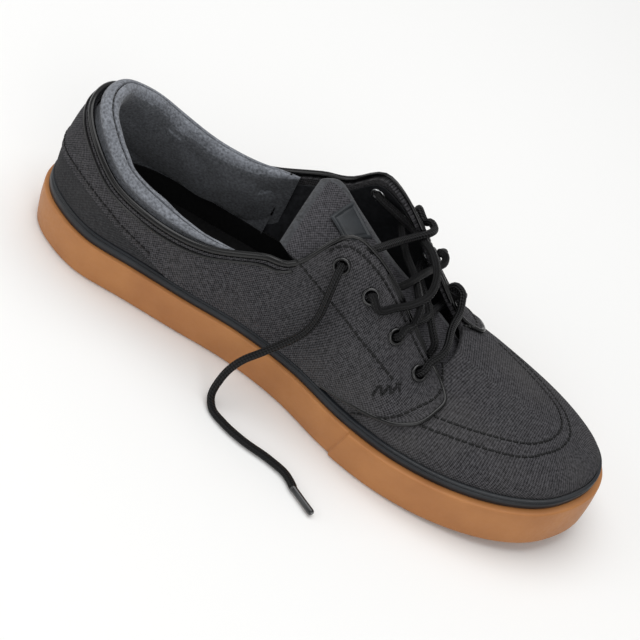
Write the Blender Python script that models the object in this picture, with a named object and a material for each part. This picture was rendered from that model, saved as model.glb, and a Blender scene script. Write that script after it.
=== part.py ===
"""A low lace-up skateboarding shoe for the left foot, empty and standing on its sole.

The toe points along +X, the lateral side is +Y, the medial side is -Y, and the floor is z = 0.
The origin is on the floor, under the middle of the sole. Lengths are in metres.
"""

import math

import bmesh
import bpy
import numpy as np
from mathutils import Matrix, Vector

# Driving sizes of the sole
SOLE_LENGTH = 0.305
BALL_WIDTH = 0.1086
SIDEWALL_HEIGHT = 0.0215
HEEL_SIDEWALL_EXTRA = 0.0012
TOE_SIDEWALL_EXTRA = 0.0010
SIDEWALL_THICKNESS = 0.0034
TREAD_THICKNESS = 0.0085
TOE_SPRING = 0.0095
BUMPER_STEP = 0.0015
EDGE_ROUND = 0.0020
GROOVE_WIDTH = 0.0024
GROOVE_DEPTH = 0.0018
GROOVE_SPACING = 0.0150

# Driving sizes of the rubber stripe above the sidewall
STRIPE_HEIGHT = 0.0058
STRIPE_HEEL_EXTRA = 0.0015
STRIPE_THICKNESS = 0.0016
STRIPE_BEAD = 0.0004

# Driving sizes of the upper
INSTEP_HEIGHT = 0.112
HEEL_HEIGHT = 0.0745
UPPER_WALL = 0.0020
QUARTER_STEP = 0.0014
PIPING_DIAMETER = 0.0026
CLEARANCE = 0.0003

# Driving sizes of the padded collar, the tongue and the insole
COLLAR_RISE = 0.0130
COLLAR_THICKNESS = 0.0095
COLLAR_DEPTH = 0.0300
COLLAR_SEAT = 0.0009
TONGUE_THICKNESS = 0.0034
TONGUE_WIDTH = 0.062
LABEL_THICKNESS = 0.0008
INSOLE_THICKNESS = 0.0045
INSOLE_RIM = 0.0015
INSOLE_GAP = 0.0008

# Driving sizes of the eyelets and the lace
EYELET_BORE_RADIUS = 0.0024
EYELET_BARREL_WALL = 0.0004
EYELET_FLANGE_RADIUS = 0.0043
EYELET_FLANGE_THICKNESS = 0.0008
EYELET_SEAT = 0.0013
LACE_DIAMETER = 0.0038
AGLET_DIAMETER = 0.0036

# Sizes of the mesh: how finely each piece is divided, and the small sizes that only keep pieces apart
MERGE_DISTANCE = 0.00004
SHARP_ANGLE = math.radians(35)
CORD_RESOLUTION = 2
SOLE_SPANS = 34
INSOLE_SPANS = 24
REAR_SPANS = 24
FRONT_SPANS = 12
TONGUE_SPANS = 14
TONGUE_COLUMNS = 9
LABEL_SPANS = 3
LABEL_COLUMNS = 5
EYELET_SIDES = 8
STRAND_SIDES = 6
STRAND_SPACING = 1.4
CORD_SPACING = 2.2
LEVELS = np.linspace(0, 1, 9)
EDGE_STEPS = 60
TONGUE_STEP = 0.004
BUMPER_RAMP = 0.003
TREAD_BORDER = 0.014
TREAD_START, TREAD_END = 0.12, 0.90
CHEVRON_POINT = 0.6
QUARTER_TIP = 0.04
PIPING_LIFT = 0.0008
HOLE_REACH = 0.006

MEDIAL, LATERAL = -1, 1
HALF_BALL = BALL_WIDTH / 2
BODY_LENGTH = SOLE_LENGTH - BUMPER_STEP

# Share of the length where the flat tread ends and the toe spring starts
SPRING_START = 0.66

# Half widths of the sole at shares of its length, as shares of half the ball width
PLAN = [
    # share, medial, lateral
    (0.05, 0.485, 0.488),
    (0.12, 0.650, 0.681),
    (0.20, 0.655, 0.730),
    (0.30, 0.657, 0.746),
    (0.40, 0.655, 0.764),
    (0.50, 0.750, 0.838),
    (0.60, 0.940, 0.930),
    (0.68, 1.010, 0.985),
    (0.76, 1.000, 0.970),
    (0.84, 0.915, 0.845),
    (0.90, 0.790, 0.710),
    (0.95, 0.600, 0.530),
    (0.985, 0.325, 0.308),
]
HEEL_RADIUS, TOE_RADIUS = 0.70, 0.70

# Centre line of the shoe, as a share of half the ball width towards the medial side
SWING = [(0.0, 0.000), (0.3, 0.000), (0.6, 0.000), (0.85, 0.069), (1.0, 0.104)]

# How far the tread's edge stands inside the sidewall's top, as shares of the sidewall's thickness
SIDEWALL_TAPER = [(0.0, 0.60), (0.3, 0.70), (0.6, 0.50), (0.85, 0.05), (1.0, -0.30)]

# Shares of the length where the toe bumper starts and where the stripe's tall heel ends
BUMPER_START = 0.62
STRIPE_HEEL_END = 0.30

# Cross-sections of the foot form. The ridge height is a share of the instep height, rise and reach are the
# fullness of the side and of the top, and flare is a share of half the ball width
SECTIONS = [
    # share, ridge, rise, reach, flare
    (0.00, 1.340, 0.42, 0.55, -0.020),
    (0.12, 1.340, 0.42, 0.55, 0.000),
    (0.25, 1.300, 0.42, 0.58, 0.040),
    (0.36, 1.230, 0.48, 0.72, 0.060),
    (0.44, 1.090, 0.54, 0.78, 0.040),
    (0.49, 0.980, 0.56, 0.78, 0.020),
    (0.56, 0.815, 0.56, 0.72, 0.015),
    (0.62, 0.660, 0.53, 0.60, 0.010),
    (0.68, 0.525, 0.50, 0.52, 0.010),
    (0.76, 0.465, 0.52, 0.50, 0.010),
    (0.84, 0.440, 0.55, 0.52, 0.010),
    (0.91, 0.420, 0.56, 0.55, 0.005),
    (0.96, 0.395, 0.56, 0.55, 0.000),
]
TOE_FRONT_FULLNESS = 1.10

# How far the back of the heel stands forward, at shares of the heel height above the stripe
HEEL_LEAN = [(0.0, 0.0), (0.25, -0.0010), (0.45, 0.0010), (0.65, 0.0050), (0.85, 0.0085), (2.0, 0.030)]
HEEL_LEAN_END = 0.25

# Top edge of the collar as shares of the heel height, then of the throat as shares of half the ball width
COLLAR_EDGE = [
    # share, medial height, lateral height
    (0.00, 1.000, 1.000),
    (0.06, 0.900, 0.910),
    (0.14, 0.750, 0.770),
    (0.23, 0.680, 0.710),
    (0.31, 0.740, 0.790),
    (0.38, 0.890, 0.960),
    (0.43, 0.990, 1.070),
]
THROAT_EDGE = [
    # share, medial gap, lateral gap
    (0.475, 0.500, 0.500),
    (0.52, 0.440, 0.440),
    (0.58, 0.400, 0.400),
    (0.64, 0.385, 0.385),
    (0.70, 0.390, 0.390),
    (0.725, 0.430, 0.430),
]
THROAT_END, THROAT_ROUND = 0.705, 0.030

# Front edge of the quarter, as shares of the way up the form
QUARTER_FOOT, QUARTER_FRONT = 0.55, 0.725
FRONT_STATIONS = (0.690, 0.699, 0.7035, THROAT_END, 0.714, 0.722, QUARTER_FRONT)
QUARTER_CURVE = [
    # share, way up
    (0.55, 0.015),
    (0.60, 0.070),
    (0.65, 0.150),
    (0.69, 0.270),
    (0.715, 0.420),
    (0.725, 0.560),
]

# Padded collar: rise and thickness along the shoe, as shares of their sizes at the heel
COLLAR = [
    # share, rise, thickness
    (0.00, 1.00, 1.00),
    (0.10, 1.00, 1.00),
    (0.20, 0.85, 0.95),
    (0.30, 0.65, 0.85),
    (0.38, 0.35, 0.60),
    (0.42, 0.05, 0.30),
]
COLLAR_SECTION = [
    # up (share of the depth below the edge, of the rise above it), in (share of the thickness)
    (-1.00, 0.00),
    (-0.50, 0.00),
    (0.28, 0.00),
    (0.60, -0.22),
    (0.90, -0.02),
    (1.00, 0.38),
    (0.90, 0.80),
    (0.45, 1.00),
    (-0.30, 0.90),
    (-0.75, 0.60),
]

# Tongue: half width as a share of the tongue's width, height of its middle as a share of the instep height,
# and as shares of the half width how far its sides lie below the middle and how far its lateral side tilts up
TONGUE = [
    # share, half width, height, arch, tilt
    (0.385, 0.350, 0.722, 0.16, 0.32),
    (0.400, 0.395, 0.735, 0.18, 0.32),
    (0.430, 0.440, 0.742, 0.24, 0.28),
    (0.460, 0.460, 0.722, 0.28, 0.20),
    (0.500, 0.460, 0.684, 0.30, 0.12),
    (0.540, 0.450, 0.636, 0.30, 0.06),
    (0.580, 0.440, 0.588, 0.27, 0.00),
    (0.620, 0.430, 0.538, 0.24, 0.00),
    (0.660, 0.400, 0.492, 0.22, 0.00),
    (0.700, 0.370, 0.440, 0.20, 0.00),
    (0.735, 0.340, 0.420, 0.20, 0.00),
]
LABEL_START, LABEL_END = 0.435, 0.510
LABEL_SIDES = (-0.25, 0.75)

# Eyelets from the top one down: stations of the medial and lateral ones, and their setback from the edge as a
# share of the flange's radius
EYELETS = [
    # medial share, lateral share, setback
    (0.487, 0.474, 2.9),
    (0.545, 0.532, 2.9),
    (0.607, 0.595, 2.6),
    (0.666, 0.658, 2.2),
]

# The free end of the lace, from the top medial eyelet over the quarter to the floor, in metres
LACE_END_ROUTE = [
    (-0.0025, -0.0385, 0.0800),
    (-0.0018, -0.0385, 0.0715),
    (-0.0014, -0.0392, 0.0625),
    (-0.0028, -0.0400, 0.0530),
    (-0.0065, -0.0415, 0.0450),
    (-0.0110, -0.0435, 0.0385),
    (-0.0165, -0.0465, 0.0315),
    (-0.0222, -0.0505, 0.0250),
    (-0.0265, -0.0548, 0.0125),
    (-0.0262, -0.0597, 0.0040),
    (-0.0230, -0.0640, 0.0022),
    (-0.0150, -0.0685, 0.0022),
    (-0.0030, -0.0718, 0.0022),
    (0.0130, -0.0736, 0.0022),
    (0.0225, -0.0762, 0.0022),
    (0.0284, -0.0808, 0.0022),
]
LACE_AGLET = [(0.0286, -0.0812, 0.0022), (0.0420, -0.0890, 0.0022)]


def smooth(rows, column, at):
    """Smooth curve through one column of a table whose first column is the station."""
    xs = np.array([row[0] for row in rows], float)
    ys = np.array([row[column] for row in rows], float)
    at = np.asarray(at, float)
    slopes = np.diff(ys) / np.diff(xs)
    if len(xs) == 2:
        return ys[0] + slopes[0] * (np.clip(at, xs[0], xs[-1]) - xs[0])
    ends = np.empty_like(ys)
    ends[1:-1] = (slopes[:-1] * np.diff(xs)[1:] + slopes[1:] * np.diff(xs)[:-1]) / (xs[2:] - xs[:-2])
    ends[0] = 1.5 * slopes[0] - 0.5 * ends[1]
    ends[-1] = 1.5 * slopes[-1] - 0.5 * ends[-2]
    i = np.clip(np.searchsorted(xs, at) - 1, 0, len(xs) - 2)
    gap = xs[i + 1] - xs[i]
    s = (np.clip(at, xs[0], xs[-1]) - xs[i]) / gap
    return (
        (1 + 2 * s) * (1 - s) ** 2 * ys[i]
        + s * (1 - s) ** 2 * gap * ends[i]
        + s * s * (3 - 2 * s) * ys[i + 1]
        + s * s * (s - 1) * gap * ends[i + 1]
    )


def angle_of(share):
    """The station angle, 0 at the heel and pi at the toe, that makes both ends round."""
    return np.arccos(1 - 2 * np.asarray(share, float))


def share_of(angle):
    return (1 - np.cos(angle)) / 2


def rounded_rows(rows, column, heel_end, toe_end):
    """Rows over the angle, divided by its sine, so that a width times the sine closes both ends."""
    inner = [(float(angle_of(row[0])), row[column] / math.sin(angle_of(row[0]))) for row in rows]
    return [(0.0, heel_end), *inner, (math.pi, toe_end)]


def end_fullness(radius_share):
    """Fullness at an end whose outline has this radius, as a share of half the ball width."""
    return math.sqrt(2 * radius_share * HALF_BALL * BODY_LENGTH) / 2 / HALF_BALL


WIDTH_ROWS = {
    side: rounded_rows(PLAN, column, end_fullness(HEEL_RADIUS), end_fullness(TOE_RADIUS))
    for side, column in ((MEDIAL, 1), (LATERAL, 2))
}


def raw_plan(angle, side):
    share = share_of(angle)
    half = smooth(WIDTH_ROWS[side], 1, angle) * np.sin(angle) * HALF_BALL
    across = side * half - smooth(SWING, 1, share) * HALF_BALL
    return np.stack([(share - 0.5) * BODY_LENGTH - BUMPER_STEP / 2, across], -1)


def middle_across():
    """The offset that puts the middle of the sole's box on the X axis."""
    angles = np.linspace(0, math.pi, 721)
    return (raw_plan(angles, MEDIAL)[:, 1].min() + raw_plan(angles, LATERAL)[:, 1].max()) / 2


Y_MIDDLE = middle_across()


def plan(angle, side, inset=0.0):
    """A point of the sole's outline, moved inwards by inset along the outline's normal."""
    step = 1e-4
    angle = np.asarray(angle, float)
    low, high = np.clip(angle - step, 0, math.pi), np.clip(angle + step, 0, math.pi)
    point = raw_plan(angle, side) - [0, Y_MIDDLE]
    along = raw_plan(high, side) - raw_plan(low, side)
    along = along / np.linalg.norm(along, axis=-1, keepdims=True)
    outward = side * np.stack([-along[..., 1], along[..., 0]], -1)
    outward = np.where((angle < 1e-6)[..., None], [-1.0, 0.0], outward)
    outward = np.where((angle > math.pi - 1e-6)[..., None], [1.0, 0.0], outward)
    return point - outward * np.asarray(inset)[..., None], outward


def sole_bottom(share):
    """Height of the tread: flat from the heel to the ball, rising in the toe spring."""
    front = np.clip((np.asarray(share) - SPRING_START) / (1 - SPRING_START), 0, None)
    return TOE_SPRING * front**2


def gum_top(share):
    extra = smooth([(0, HEEL_SIDEWALL_EXTRA), (0.3, 0), (0.7, 0), (1, TOE_SIDEWALL_EXTRA)], 1, share)
    return sole_bottom(share) + SIDEWALL_HEIGHT + extra


def stripe_top(share):
    heel = np.clip(1 - np.asarray(share) / STRIPE_HEEL_END, 0, 1)
    return gum_top(share) + STRIPE_HEIGHT + STRIPE_HEEL_EXTRA * heel


def cup_floor(share):
    return sole_bottom(share) + TREAD_THICKNESS


# The foot form that every piece of the upper follows
UPPER_INSET = SIDEWALL_THICKNESS + CLEARANCE
TINY = 1e-15


def ridge_rows():
    """Height of the ridge over the stripe, divided by the sine in front of mid length."""
    rows = []
    for share, ridge, *_ in SECTIONS:
        angle = float(angle_of(share))
        rise = ridge * INSTEP_HEIGHT - float(stripe_top(share))
        rows.append((angle, rise / (math.sin(angle) if share > 0.5 else 1)))
    return [*rows, (math.pi, TOE_FRONT_FULLNESS * rows[-1][1])]


RIDGE_ROWS = ridge_rows()


def form_raw(angle, side, s):
    """A point of the form: s is 0 at the stripe's top, 1 on the ridge and -1 on the cup's floor."""
    angle, s = np.broadcast_arrays(np.asarray(angle, float), np.asarray(s, float))
    share = share_of(angle)
    base, outward = plan(angle, side, np.full_like(angle, UPPER_INSET))
    other, _ = plan(angle, -side, np.full_like(angle, UPPER_INSET))
    ridge = (base + other) / 2
    fade = np.where(share > 0.5, np.sin(angle), 1)
    height = smooth(RIDGE_ROWS, 1, angle) * fade
    rise, reach, flare = (smooth(SECTIONS, column, share) for column in (2, 3, 4))
    shoulder = base + outward * (flare * HALF_BALL * fade)[..., None]
    crown = ridge + (base - ridge) * reach[..., None]
    up = np.clip(s, 0, 1)[..., None]
    left = 1 - up
    across = base * left**3 + 3 * shoulder * up * left**2 + 3 * crown * up**2 * left + ridge * up**3
    up = up[..., 0]
    lift = height * (3 * rise * up * (1 - up) ** 2 + 3 * up**2 * (1 - up) + up**3)
    down = np.clip(-s, 0, 1)
    z = stripe_top(share) * (1 - down) + (cup_floor(share) + CLEARANCE) * down + lift
    lean = smooth(HEEL_LEAN, 1, lift / HEEL_HEIGHT) * np.clip(1 - share / HEEL_LEAN_END, 0, 1) ** 2
    return np.stack([across[..., 0] + lean, across[..., 1], z], -1)


def form_frame(angle, side, s):
    """(point, outward normal, upward tangent) of the form."""
    angle, s = np.broadcast_arrays(np.asarray(angle, float), np.asarray(s, float))
    inside = np.clip(angle, 2e-3, math.pi - 2e-3)
    step = 1e-3
    along = form_raw(inside + step, side, s) - form_raw(inside - step, side, s)
    low = np.where(np.abs(s) < 1e-9, 0, s - step)
    up = form_raw(inside, side, np.where(s > 1 - step, 1, s + step)) - form_raw(inside, side, low)
    normal = side * np.cross(up, along)
    normal = normal / np.maximum(np.linalg.norm(normal, axis=-1, keepdims=True), TINY)
    up = up / np.maximum(np.linalg.norm(up, axis=-1, keepdims=True), TINY)
    return form_raw(angle, side, s), normal, up


def form(angle, side, s, out=0.0):
    """A point at a distance out from the form, positive outwards."""
    point, normal, _ = form_frame(angle, side, s)
    return point + normal * np.asarray(out)[..., None]


def way_up(angle, side, measure, target):
    """The s at which the form's height, or its gap from the ridge, reaches the target."""
    steps = np.linspace(0, 1, 201)
    points = form_raw(float(angle), side, steps)
    if measure == "height":
        return float(np.interp(target, points[:, 2], steps))
    gap = np.abs(points[:, 1] - points[-1, 1])
    return float(np.interp(-target, -gap, steps))


def edge_rows(side):
    """Top edge of the upper and quarters: (share, s) from the heel to the front of the quarter."""
    column = 1 if side == MEDIAL else 2
    rows = []
    for table, measure, size in ((COLLAR_EDGE, "height", HEEL_HEIGHT), (THROAT_EDGE, "gap", HALF_BALL)):
        for row in table:
            rows.append((row[0], way_up(angle_of(row[0]), side, measure, row[column] * size)))
    return rows


EDGE_ROWS = {side: edge_rows(side) for side in (MEDIAL, LATERAL)}


def edge(share, side):
    return smooth(EDGE_ROWS[side], 1, share)


def upper_top(share, side):
    """Top of the upper's wall: the edge, closing in a round at the end of the throat."""
    close = np.clip((np.asarray(share, float) - THROAT_END + THROAT_ROUND) / THROAT_ROUND, 0, 1)
    return 1 - (1 - edge(share, side)) * np.sqrt(1 - close**2)


# Mesh helpers
COLOURS = {
    "gum rubber": (0.42, 0.19, 0.070, 1.0),
    "black rubber": (0.020, 0.023, 0.028, 1.0),
    "charcoal canvas": (0.045, 0.045, 0.050, 1.0),
    "grey felt": (0.23, 0.25, 0.27, 1.0),
    "black piping": (0.012, 0.012, 0.013, 1.0),
    "black foam": (0.010, 0.010, 0.010, 1.0),
    "black enamel": (0.012, 0.012, 0.012, 1.0),
    "black cord": (0.014, 0.014, 0.015, 1.0),
}
ROUGHNESS = {
    "gum rubber": 0.45,
    "black rubber": 0.40,
    "charcoal canvas": 0.90,
    "grey felt": 0.95,
    "black piping": 0.30,
    "black foam": 0.85,
    "black enamel": 0.35,
    "black cord": 0.75,
}


def clear_scene():
    for item in list(bpy.data.objects):
        bpy.data.objects.remove(item, do_unlink=True)


def material_named(name):
    material = bpy.data.materials.get(name)
    if material is None:
        material = bpy.data.materials.new(name)
        material.use_nodes = True
        surface = material.node_tree.nodes["Principled BSDF"]
        surface.inputs["Base Color"].default_value = COLOURS[name]
        surface.inputs["Roughness"].default_value = ROUGHNESS[name]
        surface.inputs["Metallic"].default_value = 0.0
    return material


def add_object(name, data, material):
    data.materials.append(material_named(material))
    item = bpy.data.objects.new(name, data)
    bpy.context.scene.collection.objects.link(item)
    return item


def add_mesh(name, points, faces, material):
    """One closed body from points and faces, with doubled points merged and its faces turned outwards."""
    mesh = bpy.data.meshes.new(name)
    mesh.from_pydata([tuple(point) for point in points], [], faces)
    shape = bmesh.new()
    shape.from_mesh(mesh)
    bmesh.ops.remove_doubles(shape, verts=shape.verts, dist=MERGE_DISTANCE)
    bmesh.ops.dissolve_degenerate(shape, edges=shape.edges, dist=MERGE_DISTANCE)
    bmesh.ops.recalc_face_normals(shape, faces=shape.faces)
    shape.to_mesh(mesh)
    shape.free()
    mesh.shade_smooth()
    mesh.set_sharp_from_angle(angle=SHARP_ANGLE)
    return add_object(name, mesh, material)


def halves(corners, outer):
    """Two triangles of a four-cornered patch, split so that both faces of a wall have the same diagonals."""
    a, b, c, d = corners
    return [(a, b, c), (a, c, d)] if outer else [(a, b, d), (b, c, d)]


def loft(name, sections, material, ring=False):
    """A solid through closed sections, in a ring or with both ends filled."""
    count, size = len(sections), len(sections[0])
    faces = []
    for i in range(count if ring else count - 1):
        after = (i + 1) % count
        for j in range(size):
            side = (j + 1) % size
            corners = (i * size + j, i * size + side, after * size + side, after * size + j)
            faces += halves(corners, j < size // 2)
    if not ring:
        faces.append(tuple(range(size)))
        faces.append(tuple((count - 1) * size + j for j in reversed(range(size))))
    return add_mesh(name, np.concatenate(sections), faces, material)


def stack_rings(name, rings, half_count, material):
    """A solid through rings that run round the sole, with the first and the last filled across."""
    size = len(rings[0])
    faces = []
    for k in range(len(rings) - 1):
        for i in range(size):
            after = (i + 1) % size
            faces.append((k * size + i, k * size + after, (k + 1) * size + after, (k + 1) * size + i))
    for k in (0, len(rings) - 1):
        for i in range(half_count):
            left, right = k * size + i, k * size + (size - i) % size
            next_left, next_right = left + 1, k * size + (size - i - 1) % size
            faces.append((left, next_left, next_right, right))
    return add_mesh(name, np.concatenate(rings), faces, material)


def tube_mesh(name, points, radius, sides, material):
    """A round tube along points, with flat ends."""
    points = np.asarray(points, float)
    along = np.gradient(points, axis=0)
    along = along / np.linalg.norm(along, axis=1, keepdims=True)
    first = np.cross(along[0], [0.0, 0.0, 1.0])
    if np.linalg.norm(first) < 0.1:
        first = np.cross(along[0], [0.0, 1.0, 0.0])
    first = first / np.linalg.norm(first)
    sections = []
    for point, way in zip(points, along):
        first = first - way * float(first @ way)
        first = first / np.linalg.norm(first)
        second = np.cross(way, first)
        turns = np.arange(sides) * 2 * math.pi / sides
        sections.append(point + radius * (np.cos(turns)[:, None] * first + np.sin(turns)[:, None] * second))
    return loft(name, sections, material)


def smooth_route(points, spacing):
    """Points every spacing along a smooth curve through the given points."""
    points = np.asarray(points, float)
    steps = np.linalg.norm(np.diff(points, axis=0), axis=1)
    stations = np.concatenate([[0.0], np.cumsum(steps)])
    rows = [(station, *point) for station, point in zip(stations, points)]
    fine = np.linspace(0, stations[-1], 2000)
    curve = np.stack([smooth(rows, column, fine) for column in (1, 2, 3)], -1)
    length = np.concatenate([[0.0], np.cumsum(np.linalg.norm(np.diff(curve, axis=0), axis=1))])
    count = max(int(round(length[-1] / spacing)), 2)
    at = np.linspace(0, length[-1], count + 1)
    return np.stack([np.interp(at, length, curve[:, axis]) for axis in range(3)], -1)


def cord_tube(name, points, diameter, material):
    """A cord as a curve with a round bevel and filled caps."""
    curve = bpy.data.curves.new(name, "CURVE")
    curve.dimensions = "3D"
    spline = curve.splines.new("POLY")
    spline.points.add(len(points) - 1)
    for place, point in zip(spline.points, points):
        place.co = (*point, 1.0)
    curve.bevel_depth = diameter / 2
    curve.bevel_resolution = CORD_RESOLUTION
    curve.use_fill_caps = True
    return add_object(name, curve, material)


def half_angles(spans, extra=()):
    """Angles from the heel to the toe, evenly spread, with extra stations put in."""
    angles = list(np.linspace(0, math.pi, spans + 1))
    wanted = [float(angle_of(share)) for share in extra]
    near = math.pi / spans * 0.3
    kept = [a for a in angles if a in (0, math.pi) or all(abs(a - other) > near for other in wanted)]
    return np.array(sorted(kept + wanted))


def ring_points(angles, inset, height):
    """A closed ring round the sole: medial side from heel to toe, then the lateral side back."""
    share = share_of(angles)
    inset = inset(share) if callable(inset) else np.full_like(angles, inset)
    medial, _ = plan(angles, MEDIAL, inset)
    lateral, _ = plan(angles, LATERAL, inset)
    z = height(share)
    there = np.concatenate([medial, z[:, None]], 1)
    back = np.concatenate([lateral, z[:, None]], 1)
    return np.concatenate([there, back[-2:0:-1]])


# The sole
def build_outsole():
    step = BUMPER_RAMP / 2
    angles = half_angles(SOLE_SPANS, (BUMPER_START - step, BUMPER_START + step))

    def proud(share):
        return np.where(share > BUMPER_START, BUMPER_STEP, 0.0)

    def taper(share):
        return smooth(SIDEWALL_TAPER, 1, share) * SIDEWALL_THICKNESS

    def ring(inset, height, lift):
        return ring_points(angles, inset, lambda share: height(share) + lift)

    def foot(more):
        return lambda share: taper(share) - proud(share) + more

    corner = EDGE_ROUND * (1 - math.sqrt(0.5))
    rings = [
        ring(TREAD_BORDER, sole_bottom, 0.0),
        ring(foot(EDGE_ROUND), sole_bottom, 0.0),
        ring(foot(corner), sole_bottom, corner),
        ring(foot(0.0), sole_bottom, EDGE_ROUND),
        ring(lambda share: -proud(share), gum_top, -EDGE_ROUND / 2),
        ring(lambda share: EDGE_ROUND / 2 - proud(share) / 2, gum_top, 0.0),
        ring(SIDEWALL_THICKNESS, gum_top, 0.0),
        ring(SIDEWALL_THICKNESS, cup_floor, 0.0),
    ]
    outsole = stack_rings("outsole", rings, len(angles) - 1, "gum rubber")
    cutter = tread_grooves()
    cut = outsole.modifiers.new("tread", "BOOLEAN")
    cut.operation = "DIFFERENCE"
    cut.object = cutter


def tread_grooves():
    """The cutter for the chevron grooves of the tread."""
    first, last = TREAD_START * BODY_LENGTH, TREAD_END * BODY_LENGTH
    count = int((last - first) // GROOVE_SPACING) + 1
    points, faces = [], []
    for k in range(count):
        share = (first + k * GROOVE_SPACING) / BODY_LENGTH
        angle = float(angle_of(share))
        top = float(sole_bottom(share)) + GROOVE_DEPTH
        left, right = (plan(angle, side, TREAD_BORDER)[0] for side in (MEDIAL, LATERAL))
        middle = (left + right) / 2 + [GROOVE_SPACING * CHEVRON_POINT, 0.0]
        start = len(points)
        for z in (-GROOVE_DEPTH, top):
            for end in (left, middle, right):
                points.append((end[0] - GROOVE_WIDTH / 2, end[1], z))
                points.append((end[0] + GROOVE_WIDTH / 2, end[1], z))
        quads = [(0, 1, 3, 2), (2, 3, 5, 4), (6, 8, 9, 7), (8, 10, 11, 9), (0, 6, 7, 1), (4, 5, 11, 10)]
        quads += [(0, 2, 8, 6), (2, 4, 10, 8), (1, 7, 9, 3), (3, 9, 11, 5)]
        faces += [tuple(start + i for i in quad) for quad in quads]
    cutter = add_mesh("tread_cutter", points, faces, "gum rubber")
    cutter.hide_render = True
    cutter.display_type = "WIRE"
    return cutter


def build_stripe():
    """The rubber band above the sidewall, with a bead along its top."""
    angles = half_angles(SOLE_SPANS)
    inner = UPPER_INSET - CLEARANCE
    outer = inner - STRIPE_THICKNESS
    groove = 2 * STRIPE_BEAD
    rings = [
        ring_points(angles, inner, lambda share: gum_top(share) + CLEARANCE),
        ring_points(angles, outer, lambda share: gum_top(share) + CLEARANCE),
        ring_points(angles, outer, lambda share: stripe_top(share) - 2 * groove),
        ring_points(angles, outer + STRIPE_BEAD, lambda share: stripe_top(share) - 1.5 * groove),
        ring_points(angles, outer, lambda share: stripe_top(share) - groove),
        ring_points(angles, outer + STRIPE_BEAD, stripe_top),
        ring_points(angles, inner, stripe_top),
    ]
    sections = np.stack(rings, 1)
    loft("foxing_stripe", list(sections), "black rubber", ring=True)


def build_insole():
    angles = half_angles(INSOLE_SPANS)
    edge_inset = UPPER_INSET + UPPER_WALL + INSOLE_GAP
    low, top = CLEARANCE, CLEARANCE + INSOLE_THICKNESS
    rings = [
        ring_points(angles, edge_inset, lambda share: cup_floor(share) + low),
        ring_points(angles, edge_inset, lambda share: cup_floor(share) + top + INSOLE_RIM),
        ring_points(angles, edge_inset + 2 * INSOLE_THICKNESS, lambda share: cup_floor(share) + top),
    ]
    stack_rings("insole", rings, len(angles) - 1, "black foam")


# The upper
def rear_angles():
    """Stations from the heel to the end of the throat's straight edge, shared by all that meets there."""
    return np.linspace(0, float(angle_of(THROAT_END - THROAT_ROUND)), REAR_SPANS + 1)


def around_heel(half):
    """Stations up the medial side, round the heel and back along the lateral side."""
    there = [(angle, MEDIAL) for angle in half]
    return there + [(0.0, LATERAL)] + [(angle, LATERAL) for angle in half[::-1]]


def side_stations():
    """Angles from the front of the quarter to just before the heel."""
    front = [float(angle_of(share)) for share in reversed(FRONT_STATIONS)]
    return front + [float(angle) for angle in rear_angles()[:0:-1]]


def levels_between(low, top):
    """The shared levels between two heights of the form, with those outside moved to the nearer end."""
    return np.concatenate([[low], np.clip(LEVELS[1:-1], low, top), [top]])


def build_upper():
    """The hollow lasted shell: open at the collar and throat above, and at the cup sole below."""
    closing = [float(angle_of(share)) for share in FRONT_STATIONS]
    front = np.linspace(closing[-1], math.pi, FRONT_SPANS + 1)[1:]
    angles = np.concatenate([rear_angles(), closing, front])
    ribs = [(angle, MEDIAL) for angle in angles[-2:0:-1]] + [(0.0, LATERAL)]
    ribs += [(angle, LATERAL) for angle in angles[1:]]
    sections, closed = [], []
    for angle, side in ribs:
        share = float(share_of(angle))
        top = float(upper_top(share, side)) if share < THROAT_END - 1e-6 else 1.0
        steps = np.concatenate([[-1.0], levels_between(0.0, top)])
        outer = form(angle, side, steps, 0.0)
        inner = form(angle, side, steps, -UPPER_WALL)
        sections.append(np.concatenate([outer, inner[::-1]]))
        closed.append(top == 1.0)
    size, count = len(sections[0]), len(sections)
    top_edge = size // 2 - 1
    faces = []
    for i in range(count):
        after = (i + 1) % count
        for j in range(size):
            if j == top_edge and closed[i] and closed[after]:
                continue
            nxt = (j + 1) % size
            corners = (i * size + j, i * size + nxt, after * size + nxt, after * size + j)
            faces += halves(corners, j < size // 2)
    add_mesh("upper", np.concatenate(sections), faces, "charcoal canvas")


def quarter_low(share, side):
    """Lower edge of the quarter: on the stripe behind its foot, then up to the rounded front corner."""
    angle = float(angle_of(share))
    on_stripe = way_up(angle, side, "height", float(stripe_top(share)) + CLEARANCE)
    if share < QUARTER_FOOT:
        return on_stripe
    return max(on_stripe, float(smooth(QUARTER_CURVE, 1, share)))


def quarter_top(share, side):
    """Top edge of the quarter: that of the upper, drooping to the front corner."""
    last = QUARTER_CURVE[-1][1] + QUARTER_TIP
    droop = np.clip((share - THROAT_END + THROAT_ROUND) / (QUARTER_FRONT - THROAT_END + THROAT_ROUND), 0, 1)
    ends = float(edge(share, side))
    return last + (ends - last) * math.sqrt(1 - float(droop) ** 2) if droop > 0 else ends


def build_quarters():
    """Canvas quarters, eyestays and heel in one piece, laid over the upper as a step."""
    sections = []
    for angle, side in around_heel(side_stations()):
        share = float(share_of(angle))
        steps = levels_between(quarter_low(share, side), quarter_top(share, side))
        outer = form(angle, side, steps, CLEARANCE + QUARTER_STEP)
        inner = form(angle, side, steps, CLEARANCE)
        sections.append(np.concatenate([outer, inner[::-1]]))
    loft("quarters", sections, "charcoal canvas")


def collar_point(angle, side, up, out):
    """A point at a height above the collar's edge and a distance out from the form."""
    share = float(share_of(angle))
    edge_height = float(form_raw(angle, side, edge(share, side))[2])
    return form(angle, side, way_up(angle, side, "height", edge_height + up), out)


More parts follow.
